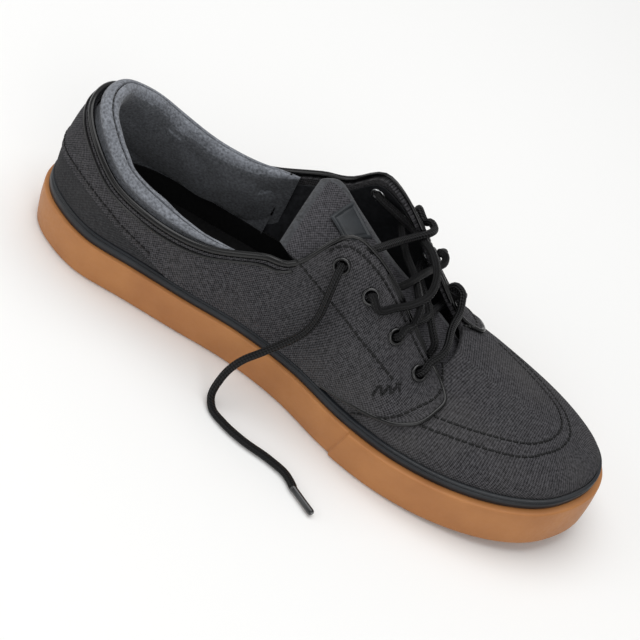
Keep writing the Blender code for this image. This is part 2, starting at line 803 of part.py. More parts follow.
def build_collar_pad():
    """The padded roll inside the collar, which stands proud of the piping."""
    last = float(angle_of(COLLAR[-1][0]))
    half = [last] + [float(angle) for angle in rear_angles()[:0:-1] if angle < last]
    lining = UPPER_WALL + COLLAR_SEAT
    sections = []
    for angle, side in around_heel(half):
        share = float(share_of(angle))
        rise = float(smooth(COLLAR, 1, share)) * COLLAR_RISE + PIPING_DIAMETER
        thick = float(smooth(COLLAR, 2, share)) * COLLAR_THICKNESS
        points = []
        for up, inward in COLLAR_SECTION:
            height = up * (rise if up > 0 else COLLAR_DEPTH)
            points.append(collar_point(angle, side, height, -lining - inward * thick))
        sections.append(np.stack(points))
    loft("collar_pad", sections, "grey felt")


def build_piping():
    """A glossy cord on the top edge of the quarters, from one throat's end round the heel to the other."""
    radius = PIPING_DIAMETER / 2
    points = []
    for angle, side in around_heel([float(angle) for angle in rear_angles()[-2:0:-1]]):
        share = float(share_of(angle))
        point, normal, up = form_frame(angle, side, edge(share, side))
        points.append(point + normal * QUARTER_STEP / 2 + up * (radius + CLEARANCE + PIPING_LIFT))
    tube_mesh("piping", points, radius, 8, "black piping")


# The tongue
def tongue_face(share, across):
    """A point on the tongue's face: across runs from -1 at its medial side to 1 at its lateral side."""
    half, height, arch, tilt = (float(smooth(TONGUE, column, share)) for column in (1, 2, 3, 4))
    middle = form_raw(float(angle_of(share)), LATERAL, 1.0)
    half = half * TONGUE_WIDTH
    z = height * INSTEP_HEIGHT + half * (tilt * across - arch * across**2)
    return np.array([float(middle[0]), float(middle[1]) + across * half, z])


def tongue_point(share, across, out):
    """A point at a distance out from the tongue's face."""
    step = TONGUE_STEP
    low, high = max(share - step, TONGUE[0][0]), min(share + step, TONGUE[-1][0])
    along = tongue_face(high, across) - tongue_face(low, across)
    side = tongue_face(share, across + step) - tongue_face(share, across - step)
    normal = np.cross(along, side)
    return tongue_face(share, across) + normal / np.linalg.norm(normal) * out


def strip_section(share, spots, top, thickness):
    """A closed section of a strip that lies along the tongue, with its face at a height over the tongue's."""
    upper = [tongue_point(share, spot, top) for spot in spots]
    lower = [tongue_point(share, spot, top - thickness) for spot in spots[::-1]]
    return np.stack(upper + lower)


def build_tongue():
    spots = np.linspace(-1, 1, TONGUE_COLUMNS)
    sections = []
    for share in np.linspace(TONGUE[0][0], TONGUE[-1][0], TONGUE_SPANS + 1):
        sections.append(strip_section(float(share), spots, 0.0, TONGUE_THICKNESS))
    loft("tongue", sections, "charcoal canvas")


def build_label():
    """A bare bordered patch sewn on the tongue."""
    top = CLEARANCE + LABEL_THICKNESS
    sections = []
    for share in np.linspace(LABEL_START, LABEL_END, LABEL_SPANS + 1):
        spots = np.linspace(*LABEL_SIDES, LABEL_COLUMNS)
        sections.append(strip_section(float(share), spots, top, LABEL_THICKNESS))
    loft("tongue_label", sections, "black foam")


# The eyelets and the lace
def eyelet_share(index, side):
    return EYELETS[index][0 if side == MEDIAL else 1]


def below_edge(share, side, distance):
    """The s at a distance down the form from the throat's edge."""
    steps = np.linspace(float(edge(share, side)), 0, EDGE_STEPS)
    points = form_raw(float(angle_of(share)), side, steps)
    run = np.concatenate([[0.0], np.cumsum(np.linalg.norm(np.diff(points, axis=0), axis=1))])
    return float(np.interp(distance, run, steps))


def eyelet_places():
    """(index, side, angle, s) of each eyelet, from the top one down."""
    places = []
    for index, (*_, setback) in enumerate(EYELETS):
        for side in (MEDIAL, LATERAL):
            share = eyelet_share(index, side)
            s = below_edge(share, side, setback * EYELET_FLANGE_RADIUS)
            places.append((index, side, float(angle_of(share)), s))
    return places


def frame_matrix(point, normal, up):
    """A matrix whose Z axis is the normal."""
    z = Vector(normal).normalized()
    x = Vector(up).cross(z).normalized()
    y = z.cross(x)
    matrix = Matrix((x, y, z)).transposed().to_4x4()
    matrix.translation = Vector(point)
    return matrix


def eyelet_sections():
    """A turned eyelet: a barrel through the wall with a flange on each face."""
    bore = EYELET_BORE_RADIUS
    barrel = bore + EYELET_BARREL_WALL
    outside = CLEARANCE + QUARTER_STEP + EYELET_SEAT
    inside = -UPPER_WALL - EYELET_SEAT
    profile = [
        (bore, inside - EYELET_FLANGE_THICKNESS),
        (EYELET_FLANGE_RADIUS, inside - EYELET_FLANGE_THICKNESS / 2),
        (EYELET_FLANGE_RADIUS, inside),
        (barrel, inside),
        (barrel, outside),
        (EYELET_FLANGE_RADIUS, outside),
        (EYELET_FLANGE_RADIUS, outside + EYELET_FLANGE_THICKNESS / 2),
        (bore, outside + EYELET_FLANGE_THICKNESS),
    ]
    sections = []
    for k in range(EYELET_SIDES):
        turn = 2 * math.pi * k / EYELET_SIDES
        sections.append(np.array([(r * math.cos(turn), r * math.sin(turn), z) for r, z in profile]))
    return sections


def build_eyelets():
    """Eight eyelets, each in a bored hole of the upper and of the quarters."""
    sections = eyelet_sections()
    hole = EYELET_BORE_RADIUS + EYELET_BARREL_WALL + CLEARANCE
    cutters = []
    for index, side, angle, s in eyelet_places():
        point, normal, up = form_frame(angle, side, s)
        matrix = frame_matrix(point, normal, up)
        name = f"eyelet_{'medial' if side == MEDIAL else 'lateral'}_{index + 1}"
        placed = [np.array([tuple(matrix @ Vector(p)) for p in section]) for section in sections]
        loft(name, placed, "black enamel", ring=True)
        turns = [2 * math.pi * k / EYELET_SIDES for k in range(EYELET_SIDES)]
        ends = []
        for z in (-HOLE_REACH, HOLE_REACH):
            end = [Vector((hole * math.cos(turn), hole * math.sin(turn), z)) for turn in turns]
            ends.append(np.array([tuple(matrix @ p) for p in end]))
        cutters.append(ends)
    points = np.concatenate([np.concatenate(ends) for ends in cutters])
    faces = []
    for k in range(len(cutters)):
        start = k * 2 * EYELET_SIDES
        for i in range(EYELET_SIDES):
            after = (i + 1) % EYELET_SIDES
            faces.append((start + i, start + after, start + EYELET_SIDES + after, start + EYELET_SIDES + i))
        faces.append(tuple(start + i for i in reversed(range(EYELET_SIDES))))
        faces.append(tuple(start + EYELET_SIDES + i for i in range(EYELET_SIDES)))
    cutter = add_mesh("eyelet_hole_cutter", points, faces, "charcoal canvas")
    cutter.hide_render = True
    cutter.display_type = "WIRE"
    for name in ("upper", "quarters"):
        cut = bpy.data.objects[name].modifiers.new("eyelet holes", "BOOLEAN")
        cut.operation = "DIFFERENCE"
        cut.object = cutter


def lace_spot(index, side, toward_edge, out):
    """A point by an eyelet: a distance from its centre towards the edge, and a height off the form."""
    share = eyelet_share(index, side)
    s = below_edge(share, side, EYELETS[index][-1] * EYELET_FLANGE_RADIUS - toward_edge)
    return form(float(angle_of(share)), side, s, out)


def across_spot(share, side, part, out):
    """A point over the throat: part of the way from the ridge to the edge, and a height off the form."""
    angle = float(angle_of(share))
    whole = abs(float(form_raw(angle, side, edge(share, side))[1]) - float(form_raw(angle, side, 1.0)[1]))
    return form(angle, side, way_up(angle, side, "gap", part * whole), out)


LACE_RADIUS = LACE_DIAMETER / 2
FLANGE_TOP = CLEARANCE + QUARTER_STEP + EYELET_SEAT + EYELET_FLANGE_THICKNESS
OVER_EYELET = FLANGE_TOP + CLEARANCE + LACE_RADIUS
OVER_EDGE = QUARTER_STEP / 2 + PIPING_DIAMETER / 2 + 2 * CLEARANCE + LACE_RADIUS
UNDER_EDGE = -UPPER_WALL - 2 * CLEARANCE - LACE_RADIUS
ON_TONGUE = LABEL_THICKNESS + 4 * CLEARANCE + LACE_RADIUS
AT_EDGE, PAST_EDGE = 0.95, 0.75
STRAND_LEAN = 0.014
BAR_DROP = 0.4
BAR_PART = 0.45


def over_end(index, side):
    """Where a strand lies on an eyelet and comes over the edge of the throat."""
    return [
        lace_spot(index, side, 0.0, OVER_EYELET + 2 * CLEARANCE),
        lace_spot(index, side, EYELET_FLANGE_RADIUS, OVER_EYELET + CLEARANCE),
        across_spot(eyelet_share(index, side), side, AT_EDGE, OVER_EDGE + 2 * CLEARANCE),
        across_spot(eyelet_share(index, side) - STRAND_LEAN, side, PAST_EDGE, OVER_EDGE),
    ]


def under_end(index, side, lean):
    """Where a strand that leans towards the toe or heel goes in under the throat's edge, up to an eyelet."""
    start = EYELET_FLANGE_RADIUS + 3 * CLEARANCE
    return [
        lace_spot(index, side, start, UNDER_EDGE),
        across_spot(eyelet_share(index, side), side, AT_EDGE, UNDER_EDGE - 2 * CLEARANCE),
        across_spot(eyelet_share(index, side) + lean, side, PAST_EDGE, UNDER_EDGE - 3 * CLEARANCE),
    ]


def strand(name, share, first, last):
    """One strand from one side to the other, over the tongue's middle at this station."""
    middle = tongue_point(share, 0.0, ON_TONGUE)
    route = smooth_route([*first, middle, *last[::-1]], STRAND_SPACING * LACE_DIAMETER)
    return tube_mesh(name, route, LACE_RADIUS, STRAND_SIDES, "black cord")


def build_crossing(name, low, high, low_over):
    """Two strands that cross, joined as one piece: each from a lower eyelet to the upper one opposite."""
    ends = [eyelet_share(index, side) for index in (low, high) for side in (MEDIAL, LATERAL)]
    share = sum(ends) / len(ends)
    pair = []
    for side in (MEDIAL, LATERAL):
        first = over_end(low, side) if low_over else under_end(low, side, -STRAND_LEAN)
        label = name if side == MEDIAL else name + "_second"
        pair.append(strand(label, share, first, under_end(high, -side, STRAND_LEAN)))
    joined = pair[0].modifiers.new("crossing", "BOOLEAN")
    joined.operation = "UNION"
    joined.object = pair[1]
    pair[1].hide_render = True
    pair[1].display_type = "WIRE"


def build_laces():
    bottom = len(EYELETS) - 1
    across = []
    for side in (MEDIAL, LATERAL):
        across.append(across_spot(eyelet_share(bottom, side), side, BAR_PART, OVER_EDGE * BAR_DROP))
    points = over_end(bottom, MEDIAL) + across + over_end(bottom, LATERAL)[::-1]
    route = smooth_route(points, STRAND_SPACING * LACE_DIAMETER)
    tube_mesh("lace_bar", route, LACE_RADIUS, STRAND_SIDES, "black cord")
    build_crossing("lace_crossing_low", bottom, bottom - 1, False)
    build_crossing("lace_crossing_middle", bottom - 1, bottom - 2, True)
    build_crossing("lace_crossing_top", bottom - 2, bottom - 3, True)
    start = tuple(lace_spot(0, MEDIAL, 0.0, OVER_EYELET - 2 * CLEARANCE))
    route = smooth_route([start, *LACE_END_ROUTE], CORD_SPACING * LACE_DIAMETER)
    cord_tube("lace_end", route, LACE_DIAMETER, "black cord")
    tube_mesh("lace_aglet", LACE_AGLET, AGLET_DIAMETER / 2, EYELET_SIDES, "black piping")


def main():
    clear_scene()
    build_outsole()
    build_stripe()
    build_insole()
    build_upper()
    build_quarters()
    build_collar_pad()
    build_piping()
    build_tongue()
    build_label()
    build_eyelets()
    build_laces()


main()
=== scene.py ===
# %% [markdown]
# A low lace-up skateboarding shoe for the left foot: a canvas upper on a gum cup sole, with a black rubber
# stripe, a grey felt collar, glossy black piping and slack round laces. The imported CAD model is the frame, and
# every piece here is laid over the same last, so that it lands where its solid is.

# %% The frame
import math

import bpy
import numpy as np
from mathutils import Euler, Matrix, Vector


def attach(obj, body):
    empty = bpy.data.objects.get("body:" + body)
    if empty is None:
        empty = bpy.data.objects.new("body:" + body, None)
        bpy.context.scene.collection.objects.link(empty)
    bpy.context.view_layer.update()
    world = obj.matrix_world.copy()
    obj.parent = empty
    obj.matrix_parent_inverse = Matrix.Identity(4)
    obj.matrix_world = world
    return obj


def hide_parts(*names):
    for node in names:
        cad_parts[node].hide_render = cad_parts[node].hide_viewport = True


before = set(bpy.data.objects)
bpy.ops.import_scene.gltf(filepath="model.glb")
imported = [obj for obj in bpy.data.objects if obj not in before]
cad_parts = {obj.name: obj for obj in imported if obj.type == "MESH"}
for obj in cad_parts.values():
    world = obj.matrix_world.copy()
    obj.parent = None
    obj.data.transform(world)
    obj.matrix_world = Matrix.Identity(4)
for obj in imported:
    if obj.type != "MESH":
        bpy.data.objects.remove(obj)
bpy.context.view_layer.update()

# %% [markdown]
# The camera keeps the photograph's angle to the shoe: about 45 degrees above the floor, in front of the medial
# side, and rolled so that the toe runs down to the right. It is turned to frame the one shoe.

# %% The camera
CAMERA_PLACE = (0.03584, -0.73645, 0.67210)
CAMERA_TURN = (44.998, -21.408, 23.008)
CAMERA_LENS = 114.8
SENSOR_WIDTH = 36

bpy.ops.object.select_all(action="DESELECT")
bpy.ops.object.camera_add(location=CAMERA_PLACE, rotation=[math.radians(turn) for turn in CAMERA_TURN])
camera = bpy.context.object
camera.data.sensor_width = SENSOR_WIDTH
camera.data.lens = CAMERA_LENS
camera.data.clip_start = 0.05
bpy.context.scene.camera = camera
print("camera at", tuple(round(value, 3) for value in camera.location))

# %% [markdown]
# The floor is a plain pale sheet, and the light is that of a product photograph: a large soft box overhead, a
# weaker one from the camera's side, and a pale room that fills the shadows.

# %% The floor and the light
FLOOR_COLOUR, FLOOR_SIZE = "F4F4F3", 8
ROOM_COLOUR, ROOM_STRENGTH = "FFFFFF", 0.43
LIGHTS = [
    # name, place, target, size, power
    ("light_overhead", (-0.15, 0.15, 1.25), (0, 0, 0), 1.3, 11.5),
    ("light_front", (0.55, -1.15, 0.75), (0.02, 0, 0.03), 0.9, 4.5),
    ("light_left", (-1.0, -0.55, 0.55), (0, 0, 0.03), 0.8, 2.5),
]


def linear(code):
    """A colour in linear light from its sRGB hex code."""
    parts = [int(code[i:i + 2], 16) / 255 for i in (0, 2, 4)]
    return tuple(p / 12.92 if p <= 0.04045 else ((p + 0.055) / 1.055) ** 2.4 for p in parts) + (1.0,)


def soft_box(name, place, target, size, power):
    """A square area light that faces a target."""
    bpy.ops.object.light_add(type="AREA", location=place)
    light = bpy.context.object
    light.name = name
    light.data.size = size
    light.data.energy = power
    light.rotation_euler = (Vector(target) - Vector(place)).to_track_quat("-Z", "Y").to_euler()


bpy.ops.mesh.primitive_plane_add(size=FLOOR_SIZE)
floor = bpy.context.object
floor.name = "floor"
for light in LIGHTS:
    soft_box(*light)
room = bpy.context.scene.world or bpy.data.worlds.new("room")
bpy.context.scene.world = room
room.use_nodes = True
room_light = room.node_tree.nodes["Background"]
room_light.inputs["Color"].default_value = linear(ROOM_COLOUR)
room_light.inputs["Strength"].default_value = ROOM_STRENGTH
bpy.context.scene.view_settings.view_transform = "Standard"

# %% [markdown]
# A shoe is built on a last, a solid foot shape. Every seam and panel follows it, so the script first works out
# the same last as the CAD: an outline of the sole, and cross-sections that rise from the stripe to a ridge. A
# point of the last has a station angle from heel to toe, a side, and a level: 0 at the stripe, 1 on the ridge.

# %% Sizes of the sole and the upper, in metres
SOLE_LENGTH = 0.305
HALF_BALL = 0.0543
SIDEWALL_HEIGHT = 0.0215
HEEL_SIDEWALL_EXTRA = 0.0012
TOE_SIDEWALL_EXTRA = 0.0010
SIDEWALL_THICKNESS = 0.0034
TREAD_THICKNESS = 0.0085
TOE_SPRING = 0.0095
SPRING_START = 0.66
BUMPER_STEP = 0.0015
STRIPE_HEIGHT = 0.0058
STRIPE_HEEL_EXTRA = 0.0015
STRIPE_THICKNESS = 0.0016
STRIPE_HEEL_END = 0.30
INSTEP_HEIGHT = 0.112
HEEL_HEIGHT = 0.0745
UPPER_WALL = 0.0020
QUARTER_STEP = 0.0014
CLEARANCE = 0.0003
PIPING_DIAMETER = 0.0026
PIPING_LIFT = 0.0008
LACE_DIAMETER = 0.0038
LACE_RADIUS = LACE_DIAMETER / 2
MEDIAL, LATERAL = -1, 1
SIDES = ((MEDIAL, "medial"), (LATERAL, "lateral"))
BODY_LENGTH = SOLE_LENGTH - BUMPER_STEP
UPPER_INSET = SIDEWALL_THICKNESS + CLEARANCE

# %% Tables of the last, by share of the length
PLAN = [
    # share, medial, lateral half width
    (0.05, 0.485, 0.488), (0.12, 0.650, 0.681), (0.20, 0.655, 0.730), (0.30, 0.657, 0.746),
    (0.40, 0.655, 0.764), (0.50, 0.750, 0.838), (0.60, 0.940, 0.930), (0.68, 1.010, 0.985),
    (0.76, 1.000, 0.970), (0.84, 0.915, 0.845), (0.90, 0.790, 0.710), (0.95, 0.600, 0.530),
    (0.985, 0.325, 0.308),
]
END_RADIUS = 0.70
SWING = [(0.0, 0.000), (0.3, 0.000), (0.6, 0.000), (0.85, 0.069), (1.0, 0.104)]
SIDEWALL_TAPER = [(0.0, 0.60), (0.3, 0.70), (0.6, 0.50), (0.85, 0.05), (1.0, -0.30)]
SIDEWALL_EXTRA = [(0, HEEL_SIDEWALL_EXTRA), (0.3, 0), (0.7, 0), (1, TOE_SIDEWALL_EXTRA)]
SECTIONS = [
    # share, ridge, rise, reach, flare
    (0.00, 1.340, 0.42, 0.55, -0.020), (0.12, 1.340, 0.42, 0.55, 0.000), (0.25, 1.300, 0.42, 0.58, 0.040),
    (0.36, 1.230, 0.48, 0.72, 0.060), (0.44, 1.090, 0.54, 0.78, 0.040), (0.49, 0.980, 0.56, 0.78, 0.020),
    (0.56, 0.815, 0.56, 0.72, 0.015), (0.62, 0.660, 0.53, 0.60, 0.010), (0.68, 0.525, 0.50, 0.52, 0.010),
    (0.76, 0.465, 0.52, 0.50, 0.010), (0.84, 0.440, 0.55, 0.52, 0.010), (0.91, 0.420, 0.56, 0.55, 0.005),
    (0.96, 0.395, 0.56, 0.55, 0.000),
]
TOE_FRONT_FULLNESS = 1.10
HEEL_LEAN = [(0.0, 0.0), (0.25, -0.0010), (0.45, 0.0010), (0.65, 0.0050), (0.85, 0.0085), (2.0, 0.030)]
HEEL_LEAN_END = 0.25
COLLAR_EDGE = [
    # share, medial height, lateral height
    (0.00, 1.000, 1.000), (0.06, 0.900, 0.910), (0.14, 0.750, 0.770), (0.23, 0.680, 0.710),
    (0.31, 0.740, 0.790), (0.38, 0.890, 0.960), (0.43, 0.990, 1.070),
]
THROAT_EDGE = [
    # share, gap from the ridge
    (0.475, 0.500, 0.500), (0.52, 0.440, 0.440), (0.58, 0.400, 0.400), (0.64, 0.385, 0.385),
    (0.70, 0.390, 0.390), (0.725, 0.430, 0.430),
]
THROAT_END, THROAT_ROUND = 0.705, 0.030
QUARTER_FOOT, QUARTER_FRONT, QUARTER_TIP = 0.55, 0.725, 0.04
QUARTER_CURVE = [(0.55, 0.015), (0.60, 0.070), (0.65, 0.150), (0.69, 0.270), (0.715, 0.420), (0.725, 0.560)]


# %% The outline of the sole
def smooth(rows, column, at):
    """Smooth curve through one column of a table whose first column is the station."""
    xs = np.array([row[0] for row in rows], float)
    ys = np.array([row[column] for row in rows], float)
    at = np.asarray(at, float)
    if len(xs) == 2:
        return np.interp(at, xs, ys)
    slopes = np.diff(ys) / np.diff(xs)
    ends = np.empty_like(ys)
    ends[1:-1] = (slopes[:-1] * np.diff(xs)[1:] + slopes[1:] * np.diff(xs)[:-1]) / (xs[2:] - xs[:-2])
    ends[0] = 1.5 * slopes[0] - 0.5 * ends[1]
    ends[-1] = 1.5 * slopes[-1] - 0.5 * ends[-2]
    i = np.clip(np.searchsorted(xs, at) - 1, 0, len(xs) - 2)
    gap = xs[i + 1] - xs[i]
    s = (np.clip(at, xs[0], xs[-1]) - xs[i]) / gap
    return (
        (1 + 2 * s) * (1 - s) ** 2 * ys[i]
        + s * (1 - s) ** 2 * gap * ends[i]
        + s * s * (3 - 2 * s) * ys[i + 1]
        + s * s * (s - 1) * gap * ends[i + 1]
    )


def angle_of(share):
    return np.arccos(1 - 2 * np.asarray(share, float))


def share_of(angle):
    return (1 - np.cos(angle)) / 2


def width_rows(column):
    """Half widths over the station angle, divided by its sine, so that both ends close in a round."""
    end = math.sqrt(2 * END_RADIUS * HALF_BALL * BODY_LENGTH) / 2 / HALF_BALL
    inner = [(float(angle_of(row[0])), row[column] / math.sin(angle_of(row[0]))) for row in PLAN]
    return [(0.0, end), *inner, (math.pi, end)]


WIDTH_ROWS = {MEDIAL: width_rows(1), LATERAL: width_rows(2)}


def raw_plan(angle, side):
    share = share_of(angle)
    half = smooth(WIDTH_ROWS[side], 1, angle) * np.sin(angle) * HALF_BALL
    across = side * half - smooth(SWING, 1, share) * HALF_BALL
    return np.stack([(share - 0.5) * BODY_LENGTH - BUMPER_STEP / 2, across], -1)


all_angles = np.linspace(0, math.pi, 721)
Y_MIDDLE = (raw_plan(all_angles, MEDIAL)[:, 1].min() + raw_plan(all_angles, LATERAL)[:, 1].max()) / 2


def plan(angle, side, inset):
    """A point of the sole's outline moved inwards by inset, and the outline's outward normal there."""
    angle = np.asarray(angle, float)
    low, high = np.clip(angle - 1e-4, 0, math.pi), np.clip(angle + 1e-4, 0, math.pi)
    along = raw_plan(high, side) - raw_plan(low, side)
    along = along / np.linalg.norm(along, axis=-1, keepdims=True)
    outward = side * np.stack([-along[..., 1], along[..., 0]], -1)
    outward = np.where((angle < 1e-6)[..., None], [-1.0, 0.0], outward)
    outward = np.where((angle > math.pi - 1e-6)[..., None], [1.0, 0.0], outward)
    return raw_plan(angle, side) - [0, Y_MIDDLE] - outward * np.asarray(inset)[..., None], outward


def sole_bottom(share):
    return TOE_SPRING * np.clip((np.asarray(share) - SPRING_START) / (1 - SPRING_START), 0, None) ** 2


def gum_top(share):
    return sole_bottom(share) + SIDEWALL_HEIGHT + smooth(SIDEWALL_EXTRA, 1, share)


def stripe_top(share):
    heel = np.clip(1 - np.asarray(share) / STRIPE_HEEL_END, 0, 1)
    return gum_top(share) + STRIPE_HEIGHT + STRIPE_HEEL_EXTRA * heel


def cup_floor(share):
    return sole_bottom(share) + TREAD_THICKNESS


print("sole", round(SOLE_LENGTH * 1000), "mm long,", round(HALF_BALL * 2000, 1), "mm wide at the ball")


# %% The last
def ridge_rows():
    """Height of the ridge over the stripe, divided by the sine in front of mid length."""
    rows = []
    for share, ridge, *_ in SECTIONS:
        angle = float(angle_of(share))
        rise = ridge * INSTEP_HEIGHT - float(stripe_top(share))
        rows.append((angle, rise / (math.sin(angle) if share > 0.5 else 1)))
    return [*rows, (math.pi, TOE_FRONT_FULLNESS * rows[-1][1])]


RIDGE_ROWS = ridge_rows()


def last_point(angle, side, level):
    """A point of the last: level 0 is the stripe's top, 1 the ridge and -1 the floor of the cup."""
    angle, level = np.broadcast_arrays(np.asarray(angle, float), np.asarray(level, float))
    share = share_of(angle)
    base, outward = plan(angle, side, np.full_like(angle, UPPER_INSET))
    other, _ = plan(angle, -side, np.full_like(angle, UPPER_INSET))
    ridge = (base + other) / 2
    fade = np.where(share > 0.5, np.sin(angle), 1)
    height = smooth(RIDGE_ROWS, 1, angle) * fade
    rise, reach, flare = (smooth(SECTIONS, column, share) for column in (2, 3, 4))
    shoulder = base + outward * (flare * HALF_BALL * fade)[..., None]
    crown = ridge + (base - ridge) * reach[..., None]
    up = np.clip(level, 0, 1)[..., None]
    left = 1 - up
    across = base * left**3 + 3 * shoulder * up * left**2 + 3 * crown * up**2 * left + ridge * up**3
    up = up[..., 0]
    lift = height * (3 * rise * up * (1 - up) ** 2 + 3 * up**2 * (1 - up) + up**3)
    down = np.clip(-level, 0, 1)
    z = stripe_top(share) * (1 - down) + (cup_floor(share) + CLEARANCE) * down + lift
    lean = smooth(HEEL_LEAN, 1, lift / HEEL_HEIGHT) * np.clip(1 - share / HEEL_LEAN_END, 0, 1) ** 2
    return np.stack([across[..., 0] + lean, across[..., 1], z], -1)


def last_frame(angle, side, level):
    """(point, outward normal, upward tangent) of the last."""
    angle, level = np.broadcast_arrays(np.asarray(angle, float), np.asarray(level, float))
    inside = np.clip(angle, 2e-3, math.pi - 2e-3)
    step = 1e-3
    along = last_point(inside + step, side, level) - last_point(inside - step, side, level)
    low = np.where(np.abs(level) < 1e-9, 0, level - step)
    up = last_point(inside, side, np.where(level > 1 - step, 1, level + step)) - last_point(inside, side, low)
    normal = side * np.cross(up, along)
    normal = normal / np.maximum(np.linalg.norm(normal, axis=-1, keepdims=True), 1e-15)
    up = up / np.maximum(np.linalg.norm(up, axis=-1, keepdims=True), 1e-15)
    return last_point(angle, side, level), normal, up


def on_last(angle, side, level, out=0.0):
    """A point at a distance out from the last."""
    point, normal, _ = last_frame(angle, side, level)
    return point + normal * np.asarray(out)[..., None]


def level_at(angle, side, measure, target):
    """The level at which the last's height, or its gap from the ridge, reaches the target."""
    steps = np.linspace(0, 1, 201)
    points = last_point(float(angle), side, steps)
    if measure == "height":
        return np.interp(target, points[:, 2], steps)
    return np.interp(-np.asarray(target), -np.abs(points[:, 1] - points[-1, 1]), steps)


def edge_rows(side):
    """Top edge of the quarters: (share, level) from the heel to the front of the throat."""
    column = 1 if side == MEDIAL else 2
    rows = []
    for table, measure, size in ((COLLAR_EDGE, "height", HEEL_HEIGHT), (THROAT_EDGE, "gap", HALF_BALL)):
        for row in table:
            rows.append((row[0], float(level_at(angle_of(row[0]), side, measure, row[column] * size))))
    return rows


EDGE_ROWS = {side: edge_rows(side) for side in (MEDIAL, LATERAL)}


def edge(share, side):
    return smooth(EDGE_ROWS[side], 1, share)


RIPPLE_HEIGHT, STRIPE_FADE = 0.00022, 6


def ripple(points):
    """Gentle unevenness of cloth that has been lasted and worn, in metres."""
    x, y, z = np.moveaxis(np.asarray(points) * 1000, -1, 0)
    uneven = np.sin(x / 9.1 + 0.8 * np.sin(y / 13)) * np.sin(z / 11 + y / 17)
    uneven = uneven + 0.6 * np.sin(x / 17.3 + y / 8.3 + 2.0) * np.sin(z / 7.7 - x / 23)
    return uneven * RIPPLE_HEIGHT


def wrinkles(points, *layers):
    """Deeper folds: ripples of other sizes, each layer with its scale, shift and strength."""
    return sum(ripple(points * scale + shift) * strength for scale, shift, strength in layers)


def cloth(angle, side, level, out):
    """A point of a cloth piece on the last, with its ripples, which fade out at the stripe."""
    point, normal, _ = last_frame(angle, side, level)
    fade = np.clip(np.asarray(level) * STRIPE_FADE, 0, 1)
    return point + normal * (out + ripple(point) * fade)[..., None]


print("instep ridge", round(float(last_point(math.pi / 2, MEDIAL, 1.0)[2]) * 1000, 1), "mm high")

# %% [markdown]
# Most pieces of a shoe are sheets and bands wrapped round the last. Each is made from Blender's grid primitive:
# the grid gets as many cells as the piece needs, its vertices are moved to a table of points on the last, and
# its UV map is set to the real lengths of the cloth, so that a weave keeps its thread spacing everywhere.
# Operators in edit mode then close, weld and turn it, and modifiers give it thickness and round its edges.

# %% Helpers that lay a grid over a table of points
WELD = 0.00002
SMOOTH_ANGLE = math.radians(40)


def only(piece):
    """Selects this piece alone and makes it active."""
    bpy.ops.object.select_all(action="DESELECT")
    piece.select_set(True)
    bpy.context.view_layer.objects.active = piece


def join(pieces):
    """Joins pieces into the first of them."""
    bpy.ops.object.select_all(action="DESELECT")
    for piece in pieces:
        piece.select_set(True)
    bpy.context.view_layer.objects.active = pieces[0]
    bpy.ops.object.join()
    return bpy.context.object


def run_lengths(table, axis):
    """Distance along one direction of a table of points, from 0 at its first row or column."""
    steps = np.linalg.norm(np.diff(table, axis=axis), axis=-1)
    start = np.zeros_like(np.take(steps, [0], axis=axis))
    return np.concatenate([start, np.cumsum(steps, axis=axis)], axis=axis)


def lay_grid(name, table, centre=None):
    """A grid primitive moved to a table of points, facing away from a centre, with UVs in metres of cloth."""
    table = np.asarray(table, float)
    middle = table.reshape(-1, 3).mean(0) if centre is None else np.asarray(centre, float)
    across = np.gradient(table, axis=1)
    up = np.gradient(table, axis=0)
    if (np.cross(across, up) * (table - middle)).sum() < 0:
        table = table[:, ::-1]
    rows, columns, _ = table.shape
    bpy.ops.object.select_all(action="DESELECT")
    bpy.ops.mesh.primitive_grid_add(x_subdivisions=columns - 1, y_subdivisions=rows - 1, size=2)
    piece = bpy.context.object
    piece.name = name
    mesh = piece.data
    mesh.name = name
    start = np.empty(len(mesh.vertices) * 3)
    mesh.vertices.foreach_get("co", start)
    start = start.reshape(-1, 3)
    column = np.rint((start[:, 0] + 1) / 2 * (columns - 1)).astype(int)
    row = np.rint((start[:, 1] + 1) / 2 * (rows - 1)).astype(int)
    mesh.vertices.foreach_set("co", table[row, column].ravel())
    along = run_lengths(table, 1)
    along = along - along[:, columns // 2][:, None]
    upward = run_lengths(table, 0)
    corner = np.empty(len(mesh.loops), int)
    mesh.loops.foreach_get("vertex_index", corner)
    cloth_uv = np.stack([along[row, column], upward[row, column]], -1)[corner]
    mesh.uv_layers.active.data.foreach_set("uv", cloth_uv.ravel())
    mesh.update()
    return piece


def weld(piece, closed=False):
    """Merges doubled points, turns a closed piece's faces outwards and shades it smooth."""
    only(piece)
    bpy.ops.object.mode_set(mode="EDIT")
    bpy.ops.mesh.select_all(action="SELECT")
    bpy.ops.mesh.remove_doubles(threshold=WELD)
    if closed:
        bpy.ops.mesh.normals_make_consistent(inside=False)
    bpy.ops.object.mode_set(mode="OBJECT")
    bpy.ops.object.shade_smooth_by_angle(angle=SMOOTH_ANGLE)
    return piece


def modify(piece, kind, **settings):
    """Adds a modifier with its settings and applies it."""
    only(piece)
    modifier = piece.modifiers.new(kind.lower(), kind)
    for key, value in settings.items():
        setattr(modifier, key, value)
    bpy.ops.object.modifier_apply(modifier=modifier.name)
    return piece


def sheet_piece(name, table, thickness, rounding=0.0, centre=None):
    """A sheet of cloth or rubber whose outer face is the table, thickened inwards, with rounded edges."""
    piece = weld(lay_grid(name, table, centre))
    modify(piece, "SOLIDIFY", thickness=thickness, offset=-1, use_even_offset=True)
    if rounding:
        modify(piece, "BEVEL", width=rounding, segments=2, limit_method="ANGLE", angle_limit=math.radians(50))
    return weld(piece)


